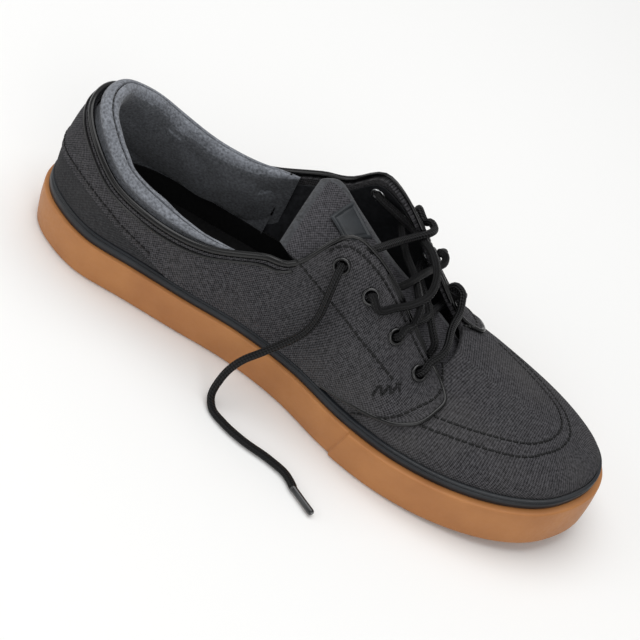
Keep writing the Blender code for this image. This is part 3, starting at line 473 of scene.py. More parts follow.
def ring_piece(name, sections, ring=False):
    """A solid through closed sections, which join in a ring or close at both ends."""
    sections = np.asarray(sections, float)
    sections = np.concatenate([sections, sections[:, :1]], 1)
    if ring:
        sections = np.concatenate([sections, sections[:1]])
    else:
        caps = [np.repeat(sections[k, :-1].mean(0)[None, None], sections.shape[1], 1) for k in (0, -1)]
        sections = np.concatenate([caps[0], sections, caps[1]])
    return weld(lay_grid(name, np.swapaxes(sections, 0, 1)), closed=True)


def dress(piece, finish, slot, *nodes):
    """Gives a piece its material, its body and the CAD nodes it stands for; its slot is not used."""
    piece.data.materials.clear()
    piece.data.materials.append(finish)
    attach(piece, "root")
    if nodes:
        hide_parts(*nodes)
    print(piece.name, len(piece.data.polygons), "faces")
    return piece

# %% [markdown]
# Materials come next. Each starts from what the real one is: woven cotton canvas, wool felt, moulded gum and
# black rubber, coated piping cord, enamelled eyelets and a braided round lace. Cloth patterns read the piece's
# own UV map, which is in metres of cloth, so that a thread is as wide on the toe as on the heel.

# %% Helpers for materials
def add_node(tree, kind, values=(), **settings):
    """Adds a node with its settings. A value is a number, a colour or another node's output."""
    made = tree.nodes.new(kind)
    for key, value in settings.items():
        setattr(made, key, value)
    for key, value in dict(values).items():
        if isinstance(value, bpy.types.NodeSocket):
            tree.links.new(value, made.inputs[key])
        else:
            made.inputs[key].default_value = value
    return made


def new_finish(name, colour, roughness, **sockets):
    """A Principled material; a socket's name is written with underscores for its spaces."""
    finish = bpy.data.materials.new(name)
    finish.use_nodes = True
    shader = finish.node_tree.nodes["Principled BSDF"]
    shader.inputs["Base Color"].default_value = linear(colour)
    shader.inputs["Roughness"].default_value = roughness
    for key, value in sockets.items():
        shader.inputs[key.replace("_", " ")].default_value = value
    return finish, finish.node_tree, shader


def waves(tree, vector, period, turn=0.0):
    """Crossed waves of a period along and across a vector, turned in degrees: 1 on a thread and -1 between."""
    mapped = add_node(tree, "ShaderNodeMapping", {"Vector": vector, "Rotation": (0, 0, math.radians(turn))})
    scaled = add_node(tree, "ShaderNodeVectorMath", {0: mapped.outputs[0], 1: (math.tau / period,) * 3},
                      operation="MULTIPLY")
    parts = add_node(tree, "ShaderNodeSeparateXYZ", {0: scaled.outputs[0]})
    sines = [add_node(tree, "ShaderNodeMath", {0: parts.outputs[k]}, operation="SINE") for k in (0, 1)]
    both = add_node(tree, "ShaderNodeMath", {0: sines[0].outputs[0], 1: sines[1].outputs[0]},
                    operation="MULTIPLY")
    return both.outputs[0]


def speckle(tree, vector, size, detail=2.0):
    """Noise between 0 and 1 whose blotches are about one size across, in metres."""
    noise = add_node(tree, "ShaderNodeTexNoise", {"Vector": vector, "Scale": 0.5 / size, "Detail": detail})
    return noise.outputs["Fac"]


def mix_colour(tree, factor, first, second):
    """A colour between two, each a hex code or another node's output."""
    colours = {6 + k: linear(c) if isinstance(c, str) else c for k, c in enumerate((first, second))}
    return add_node(tree, "ShaderNodeMix", {0: factor, **colours}, data_type="RGBA").outputs[2]


def spread(tree, value, low, high, to_low=0.0, to_high=1.0):
    """A value stretched from one range to another and held inside it."""
    made = add_node(tree, "ShaderNodeMapRange", {0: value, 1: low, 2: high, 3: to_low, 4: to_high})
    return made.outputs[0]


def two_tone(tree, shader, value, low, high, dark, light):
    """Colours a shader from dark to light as a value goes from low to high."""
    tree.links.new(mix_colour(tree, spread(tree, value, low, high), dark, light), shader.inputs["Base Color"])


def add_relief(tree, shader, height, depth, strength=1.0):
    """A bump of a real depth in metres."""
    bump = add_node(tree, "ShaderNodeBump", {"Height": height, "Distance": depth, "Strength": strength})
    tree.links.new(bump.outputs[0], shader.inputs["Normal"])


def cloth_uv(tree):
    return add_node(tree, "ShaderNodeUVMap").outputs[0]


def place_on(tree):
    return add_node(tree, "ShaderNodeTexCoord").outputs["Object"]


# %% [markdown]
# Canvas is a plain weave of thick cotton threads, about 0.7 mm apart. Each thread is painted lighter where it comes
# over its neighbour and darker between, a painted highlight and painted shade of the weave, and the dyed yarn varies
# a little from thread to thread; together they give the charcoal cloth its salt-and-pepper grain. Some dust and
# rubbing makes it paler in patches.

# %% Canvas
THREAD_PAIR = 0.00155


def canvas(name, dark, light, dust, pair=THREAD_PAIR):
    finish, tree, shader = new_finish(name, dark, 0.92, Specular_IOR_Level=0.2)
    weave = waves(tree, cloth_uv(tree), pair)
    slub = speckle(tree, place_on(tree), 0.0006, 2.0)
    patch = speckle(tree, place_on(tree), 0.022, 3.0)
    thread = add_node(tree, "ShaderNodeMath", {0: weave, 1: 0.30, 2: slub}, operation="MULTIPLY_ADD").outputs[0]
    # grain here is the weave's painted highlight on the thread crowns and painted shade between them, plus the
    # yarn's own variation
    grain = mix_colour(tree, spread(tree, thread, 0.22, 0.92), dark, light)
    dusty = mix_colour(tree, spread(tree, patch, 0.45, 0.75, 0.0, 0.30), grain, dust)
    tree.links.new(dusty, shader.inputs["Base Color"])
    add_relief(tree, shader, thread, 0.00030, 0.8)
    return finish


charcoal_canvas = canvas("charcoal cotton canvas", "18181A", "565558", "504E4C")
tongue_canvas = canvas("charcoal cotton canvas of the tongue", "19191B", "57565A", "504F52")
print("canvas threads every", THREAD_PAIR * 500, "mm")

# %% [markdown]
# The collar is covered in wool felt: fibres of several greys pressed together, so it looks mottled, soft and
# quite without gloss. The lining in front of it is a smooth dark cloth.

# %% Felt, lining, tape and insole
def felt(name, dark, light, size=0.0006):
    finish, tree, shader = new_finish(name, light, 0.97, Sheen_Weight=0.12, Sheen_Roughness=0.7)
    fibre = speckle(tree, place_on(tree), size, 5.0)
    cloud = speckle(tree, place_on(tree), 0.007, 2.0)
    mixed = add_node(tree, "ShaderNodeMath", {0: cloud, 1: 0.22, 2: fibre}, operation="MULTIPLY_ADD").outputs[0]
    two_tone(tree, shader, mixed, 0.38, 0.86, dark, light)
    add_relief(tree, shader, fibre, 0.00045, 0.9)
    return finish


def plain_cloth(name, dark, light, roughness=0.85, size=0.0012):
    finish, tree, shader = new_finish(name, dark, roughness, Specular_IOR_Level=0.25)
    grain = speckle(tree, place_on(tree), size, 3.0)
    two_tone(tree, shader, grain, 0.3, 0.75, dark, light)
    add_relief(tree, shader, grain, 0.00018, 0.6)
    return finish


grey_felt = felt("heather grey wool felt", "44474C", "888C94")
# The same felt made darker, as painted shade, for the collar's inward faces and the heel lining inside the shoe.
shaded_felt = felt("heather grey wool felt with painted shade", "34373B", "6A6D73")
dark_lining = plain_cloth("black smooth lining cloth", "18191B", "26272A", 0.6)
tongue_tape = felt("grey tape on the tongue's edge", "18191B", "404247", 0.0007)
patch_cloth = plain_cloth("dark grey lining patch", "242528", "3A3B3F", 0.7)
insole_cloth = plain_cloth("black covered foam", "0B0B0C", "161617", 0.9)
thread_finish = plain_cloth("black waxed thread", "030303", "0C0C0D", 0.45, 0.0004)
print("felt and cloth finishes made")


# %% [markdown]
# The cup sole is moulded gum rubber: warm tan, slightly cloudy, satin. The stripe over it is black rubber with a
# blue cast.

# %% Rubber
def rubber(name, dark, light, roughness, cloud=0.012, grain=0.0009, depth=0.00006):
    finish, tree, shader = new_finish(name, light, roughness, Specular_IOR_Level=0.4)
    blotch = speckle(tree, place_on(tree), cloud, 4.0)
    fine = speckle(tree, place_on(tree), grain, 2.0)
    two_tone(tree, shader, blotch, 0.3, 0.7, dark, light)
    tree.links.new(spread(tree, fine, 0.3, 0.7, roughness - 0.06, roughness + 0.08), shader.inputs["Roughness"])
    add_relief(tree, shader, fine, depth, 0.5)
    return finish


gum_rubber = rubber("moulded gum rubber", "A56C3C", "B47A46", 0.50)
black_rubber = rubber("moulded black rubber", "15181C", "202429", 0.42)
label_rubber = rubber("dark grey moulded patch", "1E2124", "2C3034", 0.5, 0.004)

# %% [markdown]
# Piping is a cord in a strip of coated cloth, as glossy as patent leather. The eyelets are enamelled brass with
# a bare rim inside. The lace is a round braid, whose strands cross in small dots, about 1.3 mm apart.

# %% Piping, eyelets and lace
def glossy(name, colour, roughness, unevenness, depth, **sockets):
    """A smooth finish whose face waves a little."""
    finish, tree, shader = new_finish(name, colour, roughness, **sockets)
    add_relief(tree, shader, speckle(tree, place_on(tree), unevenness, 2.0), depth, 0.4)
    return finish


piping_finish = glossy("coated black piping", "040405", 0.24, 0.0015, 0.00012,
                       Specular_IOR_Level=0.35, Coat_Weight=0.2, Coat_Roughness=0.08)
eyelet_black = glossy("black enamelled brass", "0D0D0E", 0.28, 0.001, 0.00004, Coat_Weight=0.3)
eyelet_silver = glossy("bare nickel rim", "C9CACB", 0.30, 0.0008, 0.00004, Metallic=1.0)
aglet_finish = glossy("glossy black aglet film", "101012", 0.18, 0.002, 0.00008, Coat_Weight=0.4)

BRAID_PERIOD = 0.0030
lace_finish, tree, shader = new_finish("black braided cord", "0D0D0E", 0.5, Specular_IOR_Level=0.22)
braid = waves(tree, cloth_uv(tree), BRAID_PERIOD / math.sqrt(2), 45.0)
two_tone(tree, shader, braid, -0.5, 1.0, "020202", "262628")
add_relief(tree, shader, braid, 0.00045, 1.0)

floor_finish, tree, shader = new_finish("pale studio floor", FLOOR_COLOUR, 0.95)
floor.data.materials.append(floor_finish)
print(len(bpy.data.materials), "materials")

# %% [markdown]
# The cup sole is one moulding: a flat tread with rounded edges, a wall that leans with the last, and a bumper
# round the toe that stands a little proud behind a slanted joint. It is laid out as rings round the shoe, from
# the middle of the tread out, up the wall, over the lip and down into the cup. The tread is then grooved with
# the Boolean modifier, by chevron bars made from cubes.

# %% The sole
BUMPER_START, BUMPER_SLANT, BUMPER_RAMP = 0.612, 0.0125, 0.0035
SOLE_STATIONS = 150
EDGE_ROUND, WALL_BOW = 0.0020, 0.0004
TREAD_BORDER = 0.014
GROOVE_WIDTH, GROOVE_DEPTH, GROOVE_SPACING = 0.0024, 0.0018, 0.0150
CHEVRON_LEAD = 0.6 * GROOVE_SPACING
TREAD_START, TREAD_END = 0.12, 0.90


def ring(angles, inset, height, part=1.0):
    """A closed row of points round the sole; part draws it in towards the middle line."""
    share = share_of(angles)
    sides = []
    for side in (MEDIAL, LATERAL):
        flat, _ = plan(angles, side, np.broadcast_to(inset(share) if callable(inset) else inset, share.shape))
        sides.append(flat)
    middle = (sides[0] + sides[1]) / 2
    rows = [np.concatenate([middle + (flat - middle) * part, height(share)[:, None]], 1) for flat in sides]
    return np.concatenate([rows[0], rows[1][::-1]])


def round_heel(half):
    """Stations from the front of the medial side round the heel to the front of the lateral side."""
    return [(station, MEDIAL) for station in half[::-1]] + [(station, LATERAL) for station in half[1:]]


def bumper(share, rise):
    """How far the toe bumper stands proud, at a part of the way up the wall."""
    start = BUMPER_START + BUMPER_SLANT * rise
    ramp = np.clip((share - start) / BUMPER_RAMP, 0, 1)
    return BUMPER_STEP * ramp * ramp * (3 - 2 * ramp)


def sole_angles():
    """Stations that crowd together where the bumper starts."""
    even = np.linspace(0, math.pi, SOLE_STATIONS + 1)
    near = angle_of(np.linspace(BUMPER_START - 0.002, BUMPER_START + BUMPER_SLANT + BUMPER_RAMP + 0.002, 24))
    return np.unique(np.concatenate([even, near]))


def wall_row(angles, rise):
    """A row of the sole's wall, rise from 0 at the tread's edge to 1 at the lip."""
    def inset(share):
        lean = smooth(SIDEWALL_TAPER, 1, share) * SIDEWALL_THICKNESS * (1 - rise)
        return lean - bumper(share, rise) - WALL_BOW * math.sin(math.pi * rise)

    def height(share):
        low, high = sole_bottom(share) + EDGE_ROUND, gum_top(share) - EDGE_ROUND / 2
        return low + (high - low) * rise
    return ring(angles, inset, height)


def taper(share):
    """How far the foot of the wall lies in from its lip."""
    return smooth(SIDEWALL_TAPER, 1, share) * SIDEWALL_THICKNESS - bumper(share, 0.0)


def make_sole():
    angles = sole_angles()
    rows = [ring(angles, TREAD_BORDER, sole_bottom, part) for part in (0.0, 0.35, 0.7, 1.0)]
    for turn in np.radians((0, 22, 45, 68)):
        inward, drop = EDGE_ROUND * (1 - math.sin(turn)), EDGE_ROUND * (1 - math.cos(turn))
        rows.append(ring(angles, lambda share: taper(share) + inward, lambda share: sole_bottom(share) + drop))
    rows += [wall_row(angles, rise) for rise in np.linspace(0, 1, 12)]
    for turn in np.radians((30, 60, 90)):
        back, up = EDGE_ROUND / 2 * (1 - math.cos(turn)), EDGE_ROUND / 2 * (math.sin(turn) - 1)
        rows.append(ring(angles, lambda share: back - bumper(share, 1.0), lambda share: gum_top(share) + up))
    rows += [ring(angles, SIDEWALL_THICKNESS, gum_top), ring(angles, SIDEWALL_THICKNESS, cup_floor)]
    rows.append(ring(angles, SIDEWALL_THICKNESS, cup_floor, 0.0))
    return weld(lay_grid("cup_sole", rows), closed=True)


def cut_tread(sole):
    """Chevron grooves across the tread, cut by pairs of slanted bars."""
    first, last = TREAD_START * BODY_LENGTH, TREAD_END * BODY_LENGTH
    bars = []
    for k in range(int((last - first) // GROOVE_SPACING) + 1):
        share = (first + k * GROOVE_SPACING) / BODY_LENGTH
        ends = [plan(float(angle_of(share)), side, TREAD_BORDER)[0] for side in (MEDIAL, LATERAL)]
        middle = (ends[0] + ends[1]) / 2 + [CHEVRON_LEAD, 0]
        for end in ends:
            way = Vector((*(middle - end), 0.0))
            centre = (*((middle + end) / 2), float(sole_bottom(share)))
            bpy.ops.mesh.primitive_cube_add(size=1, location=centre, rotation=(0, 0, math.atan2(way.y, way.x)))
            bar = bpy.context.object
            bar.scale = (way.length + GROOVE_WIDTH / 2, GROOVE_WIDTH, GROOVE_DEPTH * 2)
            bars.append(bar)
    cutter = join(bars)
    bpy.ops.object.transform_apply(location=True, rotation=True, scale=True)
    modify(sole, "BOOLEAN", operation="DIFFERENCE", object=cutter, solver="EXACT", use_self=True)
    bpy.data.objects.remove(cutter, do_unlink=True)


sole = make_sole()
cut_tread(sole)
only(sole)
bpy.ops.object.shade_smooth_by_angle(angle=SMOOTH_ANGLE)
dress(sole, gum_rubber, "gum_rubber", "outsole")

# %% [markdown]
# The black stripe is a separate rubber band cemented round the joint of canvas and sole. A thin bead runs along
# its top, which catches a line of light, and its ends overlap near the toe.

# %% The stripe
def make_stripe():
    angles = np.linspace(0, math.pi, 161)
    inner = UPPER_INSET - CLEARANCE
    outer = inner - STRIPE_THICKNESS
    profile = [
        # inset, height over the gum, height below the stripe's top
        (inner, 0.0003, None), (outer + 0.0003, 0.0003, None), (outer, 0.0008, None), (outer - 0.0001, None, 0.0026),
        (outer + 0.0002, None, 0.0019), (outer + 0.0007, None, 0.0016), (outer + 0.0002, None, 0.0013),
        (outer - 0.0001, None, 0.0008), (outer + 0.0002, None, 0.0002), (outer + 0.0007, None, 0.0),
        (inner, None, 0.0), (inner, 0.0003, None),
    ]
    rows = []
    for inset, over, below in profile:
        if below is None:
            rows.append(ring(angles, inset, lambda share: gum_top(share) + over))
        else:
            rows.append(ring(angles, inset, lambda share: stripe_top(share) - below))
    return weld(lay_grid("rubber_stripe", rows), closed=True)


dress(make_stripe(), black_rubber, "black_rubber", "foxing_stripe")


# %% The insole
INSOLE_GAP, INSOLE_THICKNESS, INSOLE_STATIONS = 0.0008, 0.0045, 81
INSOLE_RIM_END, INSOLE_RIM_THICKNESS, INSOLE_RIM_SEAT = 2.0, 0.0009, 0.0016
INSOLE_EDGE = [
    # distance in from the edge, rise over the flat middle
    (0.0040, 0.0004), (0.0012, 0.0013), (0.0003, 0.0012), (0.0, 0.0005),
]


def make_insole():
    angles = np.linspace(0, math.pi, INSOLE_STATIONS)
    inset = UPPER_INSET + UPPER_WALL + INSOLE_GAP
    flat = [(0.009, 0.0, part) for part in (0.0, 0.4, 0.8, 1.0)]
    rows = []
    for extra, rise, part in flat + [(*row, 1.0) for row in INSOLE_EDGE]:
        top = CLEARANCE + INSOLE_THICKNESS + rise
        rows.append(ring(angles, inset + extra, lambda share: cup_floor(share) + top, part))
    for part in (1.0, 0.0):
        rows.append(ring(angles, inset, lambda share: cup_floor(share) + CLEARANCE, part))
    return weld(lay_grid("insole_pad", rows), closed=True)


def make_insole_rim():
    """The insole's thin cupped rim, which stands up the walls round the heel and the waist."""
    columns = []
    for angle, side in round_heel(np.linspace(0, INSOLE_RIM_END, 90)):
        levels = np.linspace(-0.94, -0.14 + 0.32 * float(share_of(angle)), 12)
        columns.append(on_last(np.full_like(levels, angle), side, levels, -UPPER_WALL - INSOLE_RIM_SEAT))
    return sheet_piece("insole_rim", np.stack(columns, 1), INSOLE_RIM_THICKNESS)


dress(make_insole(), insole_cloth, "black_foam", "insole")
dress(make_insole_rim(), insole_cloth, "black_foam")

# %% [markdown]
# The upper is the hollow canvas shell that the last gives its shape: vamp, toe box and walls in one. It is open
# at the collar and along the throat, which ends in a round over the toes, and below, where it goes down inside
# the cup. A sheet is laid on the last, its two sides meet and are welded on the ridge in front of the throat,
# and Solidify gives it its wall.

# %% Stations shared by the pieces on the last
REAR_STEPS, CLOSING_STEPS, FRONT_STEPS = 96, 18, 56
SHELL_MIDDLE, COUNTER_MIDDLE, TONGUE_MIDDLE = (0, 0, 0.04), (-0.08, 0, 0.04), (0, 0, 0.03)
throat_start = THROAT_END - THROAT_ROUND
rear_angles = np.linspace(0, float(angle_of(throat_start)), REAR_STEPS + 1)
closing_shares = throat_start + THROAT_ROUND * np.sin(np.linspace(0, math.pi / 2, CLOSING_STEPS + 1)[1:])
closing_angles = angle_of(closing_shares)


def upper_top(share, side):
    """Top of the upper's wall: the edge, closing in a round at the end of the throat."""
    close = np.clip((share - throat_start) / THROAT_ROUND, 0, 1)
    return float(1 - (1 - edge(share, side)) * math.sqrt(1 - close**2))


# %% The upper
def make_upper():
    front = np.linspace(closing_angles[-1], math.pi, FRONT_STEPS + 1)[1:]
    levels = np.concatenate([[-1, -0.5], np.linspace(0, 1, 30)])
    columns = []
    for angle, side in round_heel(np.concatenate([rear_angles, closing_angles, front])):
        share = float(share_of(angle))
        top = upper_top(share, side) if share < THROAT_END - 1e-9 else 1.0
        columns.append(cloth(angle, side, np.where(levels > 0, levels * top, levels), 0.0))
    return sheet_piece("canvas_upper", np.stack(columns, 1), UPPER_WALL, 0.0, SHELL_MIDDLE)


upper = make_upper()

# %% [markdown]
# The quarters are the canvas side panels with the eyestays, laid over the upper in one step from the heel to a
# rounded corner beside the toes. At the heel they end on a diagonal seam, and a smoother counter panel fills
# the corner below it.

# %% The quarters and the heel counter
# share, level; a solver outside this script made these from traced places, and they are rounded
SEAM = [(0.00, 0.10), (0.06, 0.11), (0.12, 0.095), (0.17, 0.06), (0.22, 0.03), (0.262, 0.00)]
SEAM_END = 0.262
COUNTER_STEP = 0.0008


def on_stripe(angle, side):
    return float(level_at(angle, side, "height", float(stripe_top(share_of(angle))) + CLEARANCE))


def quarter_low(share, side):
    """Lower edge: the counter's seam at the heel, then the stripe, then up to the rounded front corner."""
    low = on_stripe(angle_of(share), side)
    if share < SEAM_END:
        return max(low, float(smooth(SEAM, 1, share)))
    return low if share < QUARTER_FOOT else max(low, float(smooth(QUARTER_CURVE, 1, share)))


def quarter_top(share, side):
    """Top edge: that of the upper, drooping to the front corner."""
    tip = QUARTER_CURVE[-1][1] + QUARTER_TIP
    droop = (share - throat_start) / (QUARTER_FRONT - throat_start)
    top = float(edge(share, side))
    return tip + (top - tip) * math.sqrt(max(1 - droop**2, 0)) if droop > 0 else top


front_shares = throat_start + (QUARTER_FRONT - throat_start) * np.sin(np.linspace(0, math.pi / 2, 25)[1:])
quarter_angles = np.concatenate([rear_angles, angle_of(front_shares)])


def make_quarters():
    columns = []
    for angle, side in round_heel(quarter_angles):
        share = float(share_of(angle))
        levels = np.linspace(quarter_low(share, side), quarter_top(share, side), 30)
        columns.append(cloth(angle, side, levels, CLEARANCE + QUARTER_STEP))
    return sheet_piece("canvas_quarters", np.stack(columns, 1), QUARTER_STEP, 0.0, SHELL_MIDDLE)


def make_counter():
    columns = []
    for angle, side in round_heel(angle_of(np.linspace(0, SEAM_END, 60))):
        levels = np.linspace(on_stripe(angle, side), max(float(smooth(SEAM, 1, share_of(angle))), 0.004), 10)
        columns.append(cloth(angle, side, levels, CLEARANCE + COUNTER_STEP))
    return sheet_piece("heel_counter", np.stack(columns, 1), COUNTER_STEP, 0.0, COUNTER_MIDDLE)


quarters = make_quarters()
counter_canvas = canvas("coated canvas of the counter", "212123", "404042", "403F3E", 0.0011)
dress(make_counter(), counter_canvas, "charcoal_canvas")

# %% [markdown]
# The eyelets are turned rings: a barrel through both layers, a black enamelled flange outside and a bare rim
# inside. One is modelled by turning its profile, and each place on the eyestays gets a copy. The canvas is
# bored for them with one Boolean cut of eight cylinders.

# %% The eyelets
EYELETS = [
    # medial share, lateral share, distance from the edge in flange radii
    (0.487, 0.474, 2.9), (0.545, 0.532, 2.9), (0.607, 0.595, 2.6), (0.666, 0.658, 2.2),
]
BORE_RADIUS, BARREL_WALL, FLANGE_RADIUS = 0.0024, 0.0004, 0.0043
BARREL_RADIUS = BORE_RADIUS + BARREL_WALL
FLANGE_RISE, RIM_RISE = 0.0011, 0.0009
BORE_PLAY, BORE_LENGTH = 0.0001, 0.012
SEAT_GAP, LINING_ROOM = 0.0002, 0.0009
OUTSIDE = CLEARANCE + QUARTER_STEP + SEAT_GAP
INSIDE = -UPPER_WALL - LINING_ROOM


def eyelet_share(index, side):
    return EYELETS[index][0 if side == MEDIAL else 1]


def below_edge(share, side, distance):
    """The level at a distance down the last from the throat's edge."""
    steps = np.linspace(float(edge(share, side)), 0, 60)
    points = last_point(float(angle_of(share)), side, steps)
    return float(np.interp(distance, run_lengths(points, 0), steps))


def eyelet_frame(index, side):
    """A matrix at an eyelet: Z points outwards and Y up towards the throat's edge."""
    share = eyelet_share(index, side)
    level = below_edge(share, side, EYELETS[index][2] * FLANGE_RADIUS)
    point, normal, up = last_frame(float(angle_of(share)), side, level)
    z = Vector(normal).normalized()
    x = Vector(up).cross(z).normalized()
    matrix = Matrix((x, z.cross(x), z)).transposed().to_4x4()
    matrix.translation = Vector(point)
    return matrix


def turned(name, profile, matrix, sides=32):
    """A ring turned from a closed profile of (radius, height) points."""
    turns = np.arange(sides) * math.tau / sides
    sections = [[matrix @ Vector((r * math.cos(a), r * math.sin(a), z)) for r, z in profile] for a in turns]
    return ring_piece(name, np.array([[tuple(p) for p in section] for section in sections]), ring=True)


def rim(radius, bore, base, rise):
    """Profile of a rounded washer, from its outer edge to its bore."""
    middle, half = (radius + bore) / 2, (radius - bore) / 2
    return [(middle + half * math.cos(a), base + rise * math.sin(a)) for a in np.radians(range(0, 181, 20))]


def bored(piece, cutters):
    modify(piece, "BOOLEAN", operation="DIFFERENCE", object=cutters, solver="EXACT")
    return weld(piece)


hole_cutters = []
for index in range(len(EYELETS)):
    for side, word in SIDES:
        name = f"eyelet_{word}_{index + 1}"
        matrix = eyelet_frame(index, side)
        flange = rim(FLANGE_RADIUS, BORE_RADIUS, OUTSIDE, FLANGE_RISE)
        flange += [(BORE_RADIUS, INSIDE), (BARREL_RADIUS, INSIDE), (BARREL_RADIUS, OUTSIDE)]
        dress(turned(f"{name}_flange", flange, matrix), eyelet_black, "black_enamel", name)
        back = rim(FLANGE_RADIUS * 0.96, BORE_RADIUS * 0.98, INSIDE, -RIM_RISE)
        dress(turned(f"{name}_rim", back, matrix), eyelet_silver, "black_enamel")
        bpy.ops.mesh.primitive_cylinder_add(vertices=24, radius=BARREL_RADIUS + BORE_PLAY, depth=BORE_LENGTH)
        bpy.context.object.matrix_world = matrix
        hole_cutters.append(bpy.context.object)
cutter = join(hole_cutters)
bored(upper, cutter)
bored(quarters, cutter)
cutter.hide_render = True
dress(upper, charcoal_canvas, "charcoal_canvas", "upper")
dress(quarters, charcoal_canvas, "charcoal_canvas", "quarters")

# %% [markdown]
# Glossy piping runs round the collar and on along the eyestays, where it is thinner, down round their front
# corners to the stripe. A second, finer bead lies under it round the collar. Each is a tube with its own route.

# %% Tubes along a route
def smooth_route(points, spacing):
    """Points every spacing along a smooth curve through the given points."""
    points = np.asarray(points, float)
    stations = run_lengths(points, 0)
    rows = [(station, *point) for station, point in zip(stations, points)]
    fine = np.linspace(0, stations[-1], 6000)
    curve = np.stack([smooth(rows, column, fine) for column in (1, 2, 3)], -1)
    length = run_lengths(curve, 0)
    at = np.linspace(0, length[-1], max(int(round(length[-1] / spacing)), 2) + 1)
    return np.stack([np.interp(at, length, curve[:, axis]) for axis in range(3)], -1)


def tube(name, route, radius, sides=12):
    """A round tube along a route; radius may change from point to point."""
    route = np.asarray(route, float)
    radii = np.broadcast_to(radius, len(route))
    ways = np.gradient(route, axis=0)
    ways = ways / np.linalg.norm(ways, axis=1, keepdims=True)
    first = np.cross(ways[0], [0.13, 0.21, 0.97])
    sections = []
    for point, way, r in zip(route, ways, radii):
        first = first - way * float(first @ way)
        first = first / np.linalg.norm(first)
        second = np.cross(way, first)
        turns = np.arange(sides)[:, None] * math.tau / sides
        sections.append(point + r * (np.cos(turns) * first + np.sin(turns) * second))
    return ring_piece(name, sections)


# %% The piping
PIPING_SWELL, PIPING_SINK, PIPING_THINNING = 0.0003, 0.0004, 0.0007
THINNING_START, THINNING_RUN = 0.42, 0.06
BEAD_END, BEAD_DROP, BEAD_RADIUS, BEAD_SEAT = 0.43, 0.0022, 0.0008, 0.0001


def piping_point(angle, side):
    """A point of the piping's middle line, just over the top edge of the quarters."""
    point, normal, up = last_frame(angle, side, edge(float(share_of(angle)), side))
    lift = PIPING_DIAMETER / 2 + CLEARANCE + PIPING_LIFT - PIPING_SINK
    return point + normal * QUARTER_STEP / 2 + up * lift


def piping_radius(angle):
    thinner = np.clip((float(share_of(angle)) - THINNING_START) / THINNING_RUN, 0, 1)
    return PIPING_DIAMETER / 2 + PIPING_SWELL - PIPING_THINNING * thinner


piping_places = round_heel(rear_angles[:-2])
route = [piping_point(angle, side) for angle, side in piping_places]
radii = [piping_radius(angle) for angle, _ in piping_places]
dress(tube("collar_piping", route, radii, 14), piping_finish, "black_piping", "piping")
bead_angles = rear_angles[rear_angles < float(angle_of(BEAD_END))]
bead = [on_last(a, s, below_edge(float(share_of(a)), s, BEAD_DROP), CLEARANCE + QUARTER_STEP + BEAD_SEAT)
        for a, s in round_heel(bead_angles)]
dress(tube("collar_bead", smooth_route(bead, 0.002), BEAD_RADIUS, 8), piping_finish, "black_piping")


# %% The binding round the front of each eyestay
def front_edge(side):
    """Points of the quarter's front edge, from the throat over the corner and down to the stripe."""
    points = [(share, quarter_top(share, side)) for share in front_shares]
    points[-1] = (QUARTER_FRONT, QUARTER_CURVE[-1][1] + QUARTER_TIP / 2)
    for share in np.linspace(QUARTER_FRONT, QUARTER_FOOT, 40)[1:]:
        points.append((share, max(quarter_low(share, side), on_stripe(angle_of(share), side))))
    return points


for side, word in SIDES:
    back = [(float(share_of(a)), float(edge(share_of(a), side))) for a in rear_angles[-14:]]
    line = [on_last(float(angle_of(s)), side, level, CLEARANCE + QUARTER_STEP * 0.6)
            for s, level in back + front_edge(side)]
    dress(tube(f"binding_{word}", smooth_route(line[::2], 0.0015), 0.0011, 10), piping_finish, "black_piping")

# %% [markdown]
# The collar is a roll of foam under felt, fullest at the heel and thinning to a point by the top eyelets. A seam
# runs along its top, between the outer and the inner band, and the felt goes on down the inside of the heel.

# %% The padded collar
COLLAR_RISE, COLLAR_THICKNESS, COLLAR_DEPTH, COLLAR_SEAT = 0.0130, 0.0095, 0.0300, 0.0009
COLLAR = {
    # share, rise, thickness on each side
    MEDIAL: [(0.00, 0.70, 0.86), (0.08, 0.72, 0.84), (0.16, 0.62, 0.78), (0.24, 0.42, 0.62), (0.30, 0.12, 0.38),
             (0.335, -0.10, 0.12)],
    LATERAL: [(0.00, 0.70, 0.86), (0.10, 0.78, 0.86), (0.20, 0.72, 0.84), (0.28, 0.52, 0.70), (0.32, 0.30, 0.50),
              (0.352, -0.05, 0.15)],
}
COLLAR_SECTION = [
    # height, distance in from the wall
    (-1.05, 0.02), (-0.5, 0.0), (0.28, 0.0), (0.60, -0.22), (0.90, -0.02), (1.0, 0.38), (0.90, 0.78),
    (0.45, 1.0), (-0.30, 0.86), (-0.75, 0.52), (-1.02, 0.16),
]
SEAM_AT, SEAM_DEPTH = 4.8, 0.0021


def closed_spline(points, count):
    """A smooth closed curve through points, with its parameter counted in points."""
    points = np.asarray(points, float)
    around = np.concatenate([points[-3:], points, points[:4]])
    rows = [(k - 3, *point) for k, point in enumerate(around)]
    at = np.arange(count) * len(points) / count
    return at, np.stack([smooth(rows, 1, at), smooth(rows, 2, at)], -1)


collar_at, collar_shape = closed_spline(COLLAR_SECTION, 64)
collar_crease = np.exp(-((collar_at - SEAM_AT) / 0.12) ** 2) * SEAM_DEPTH


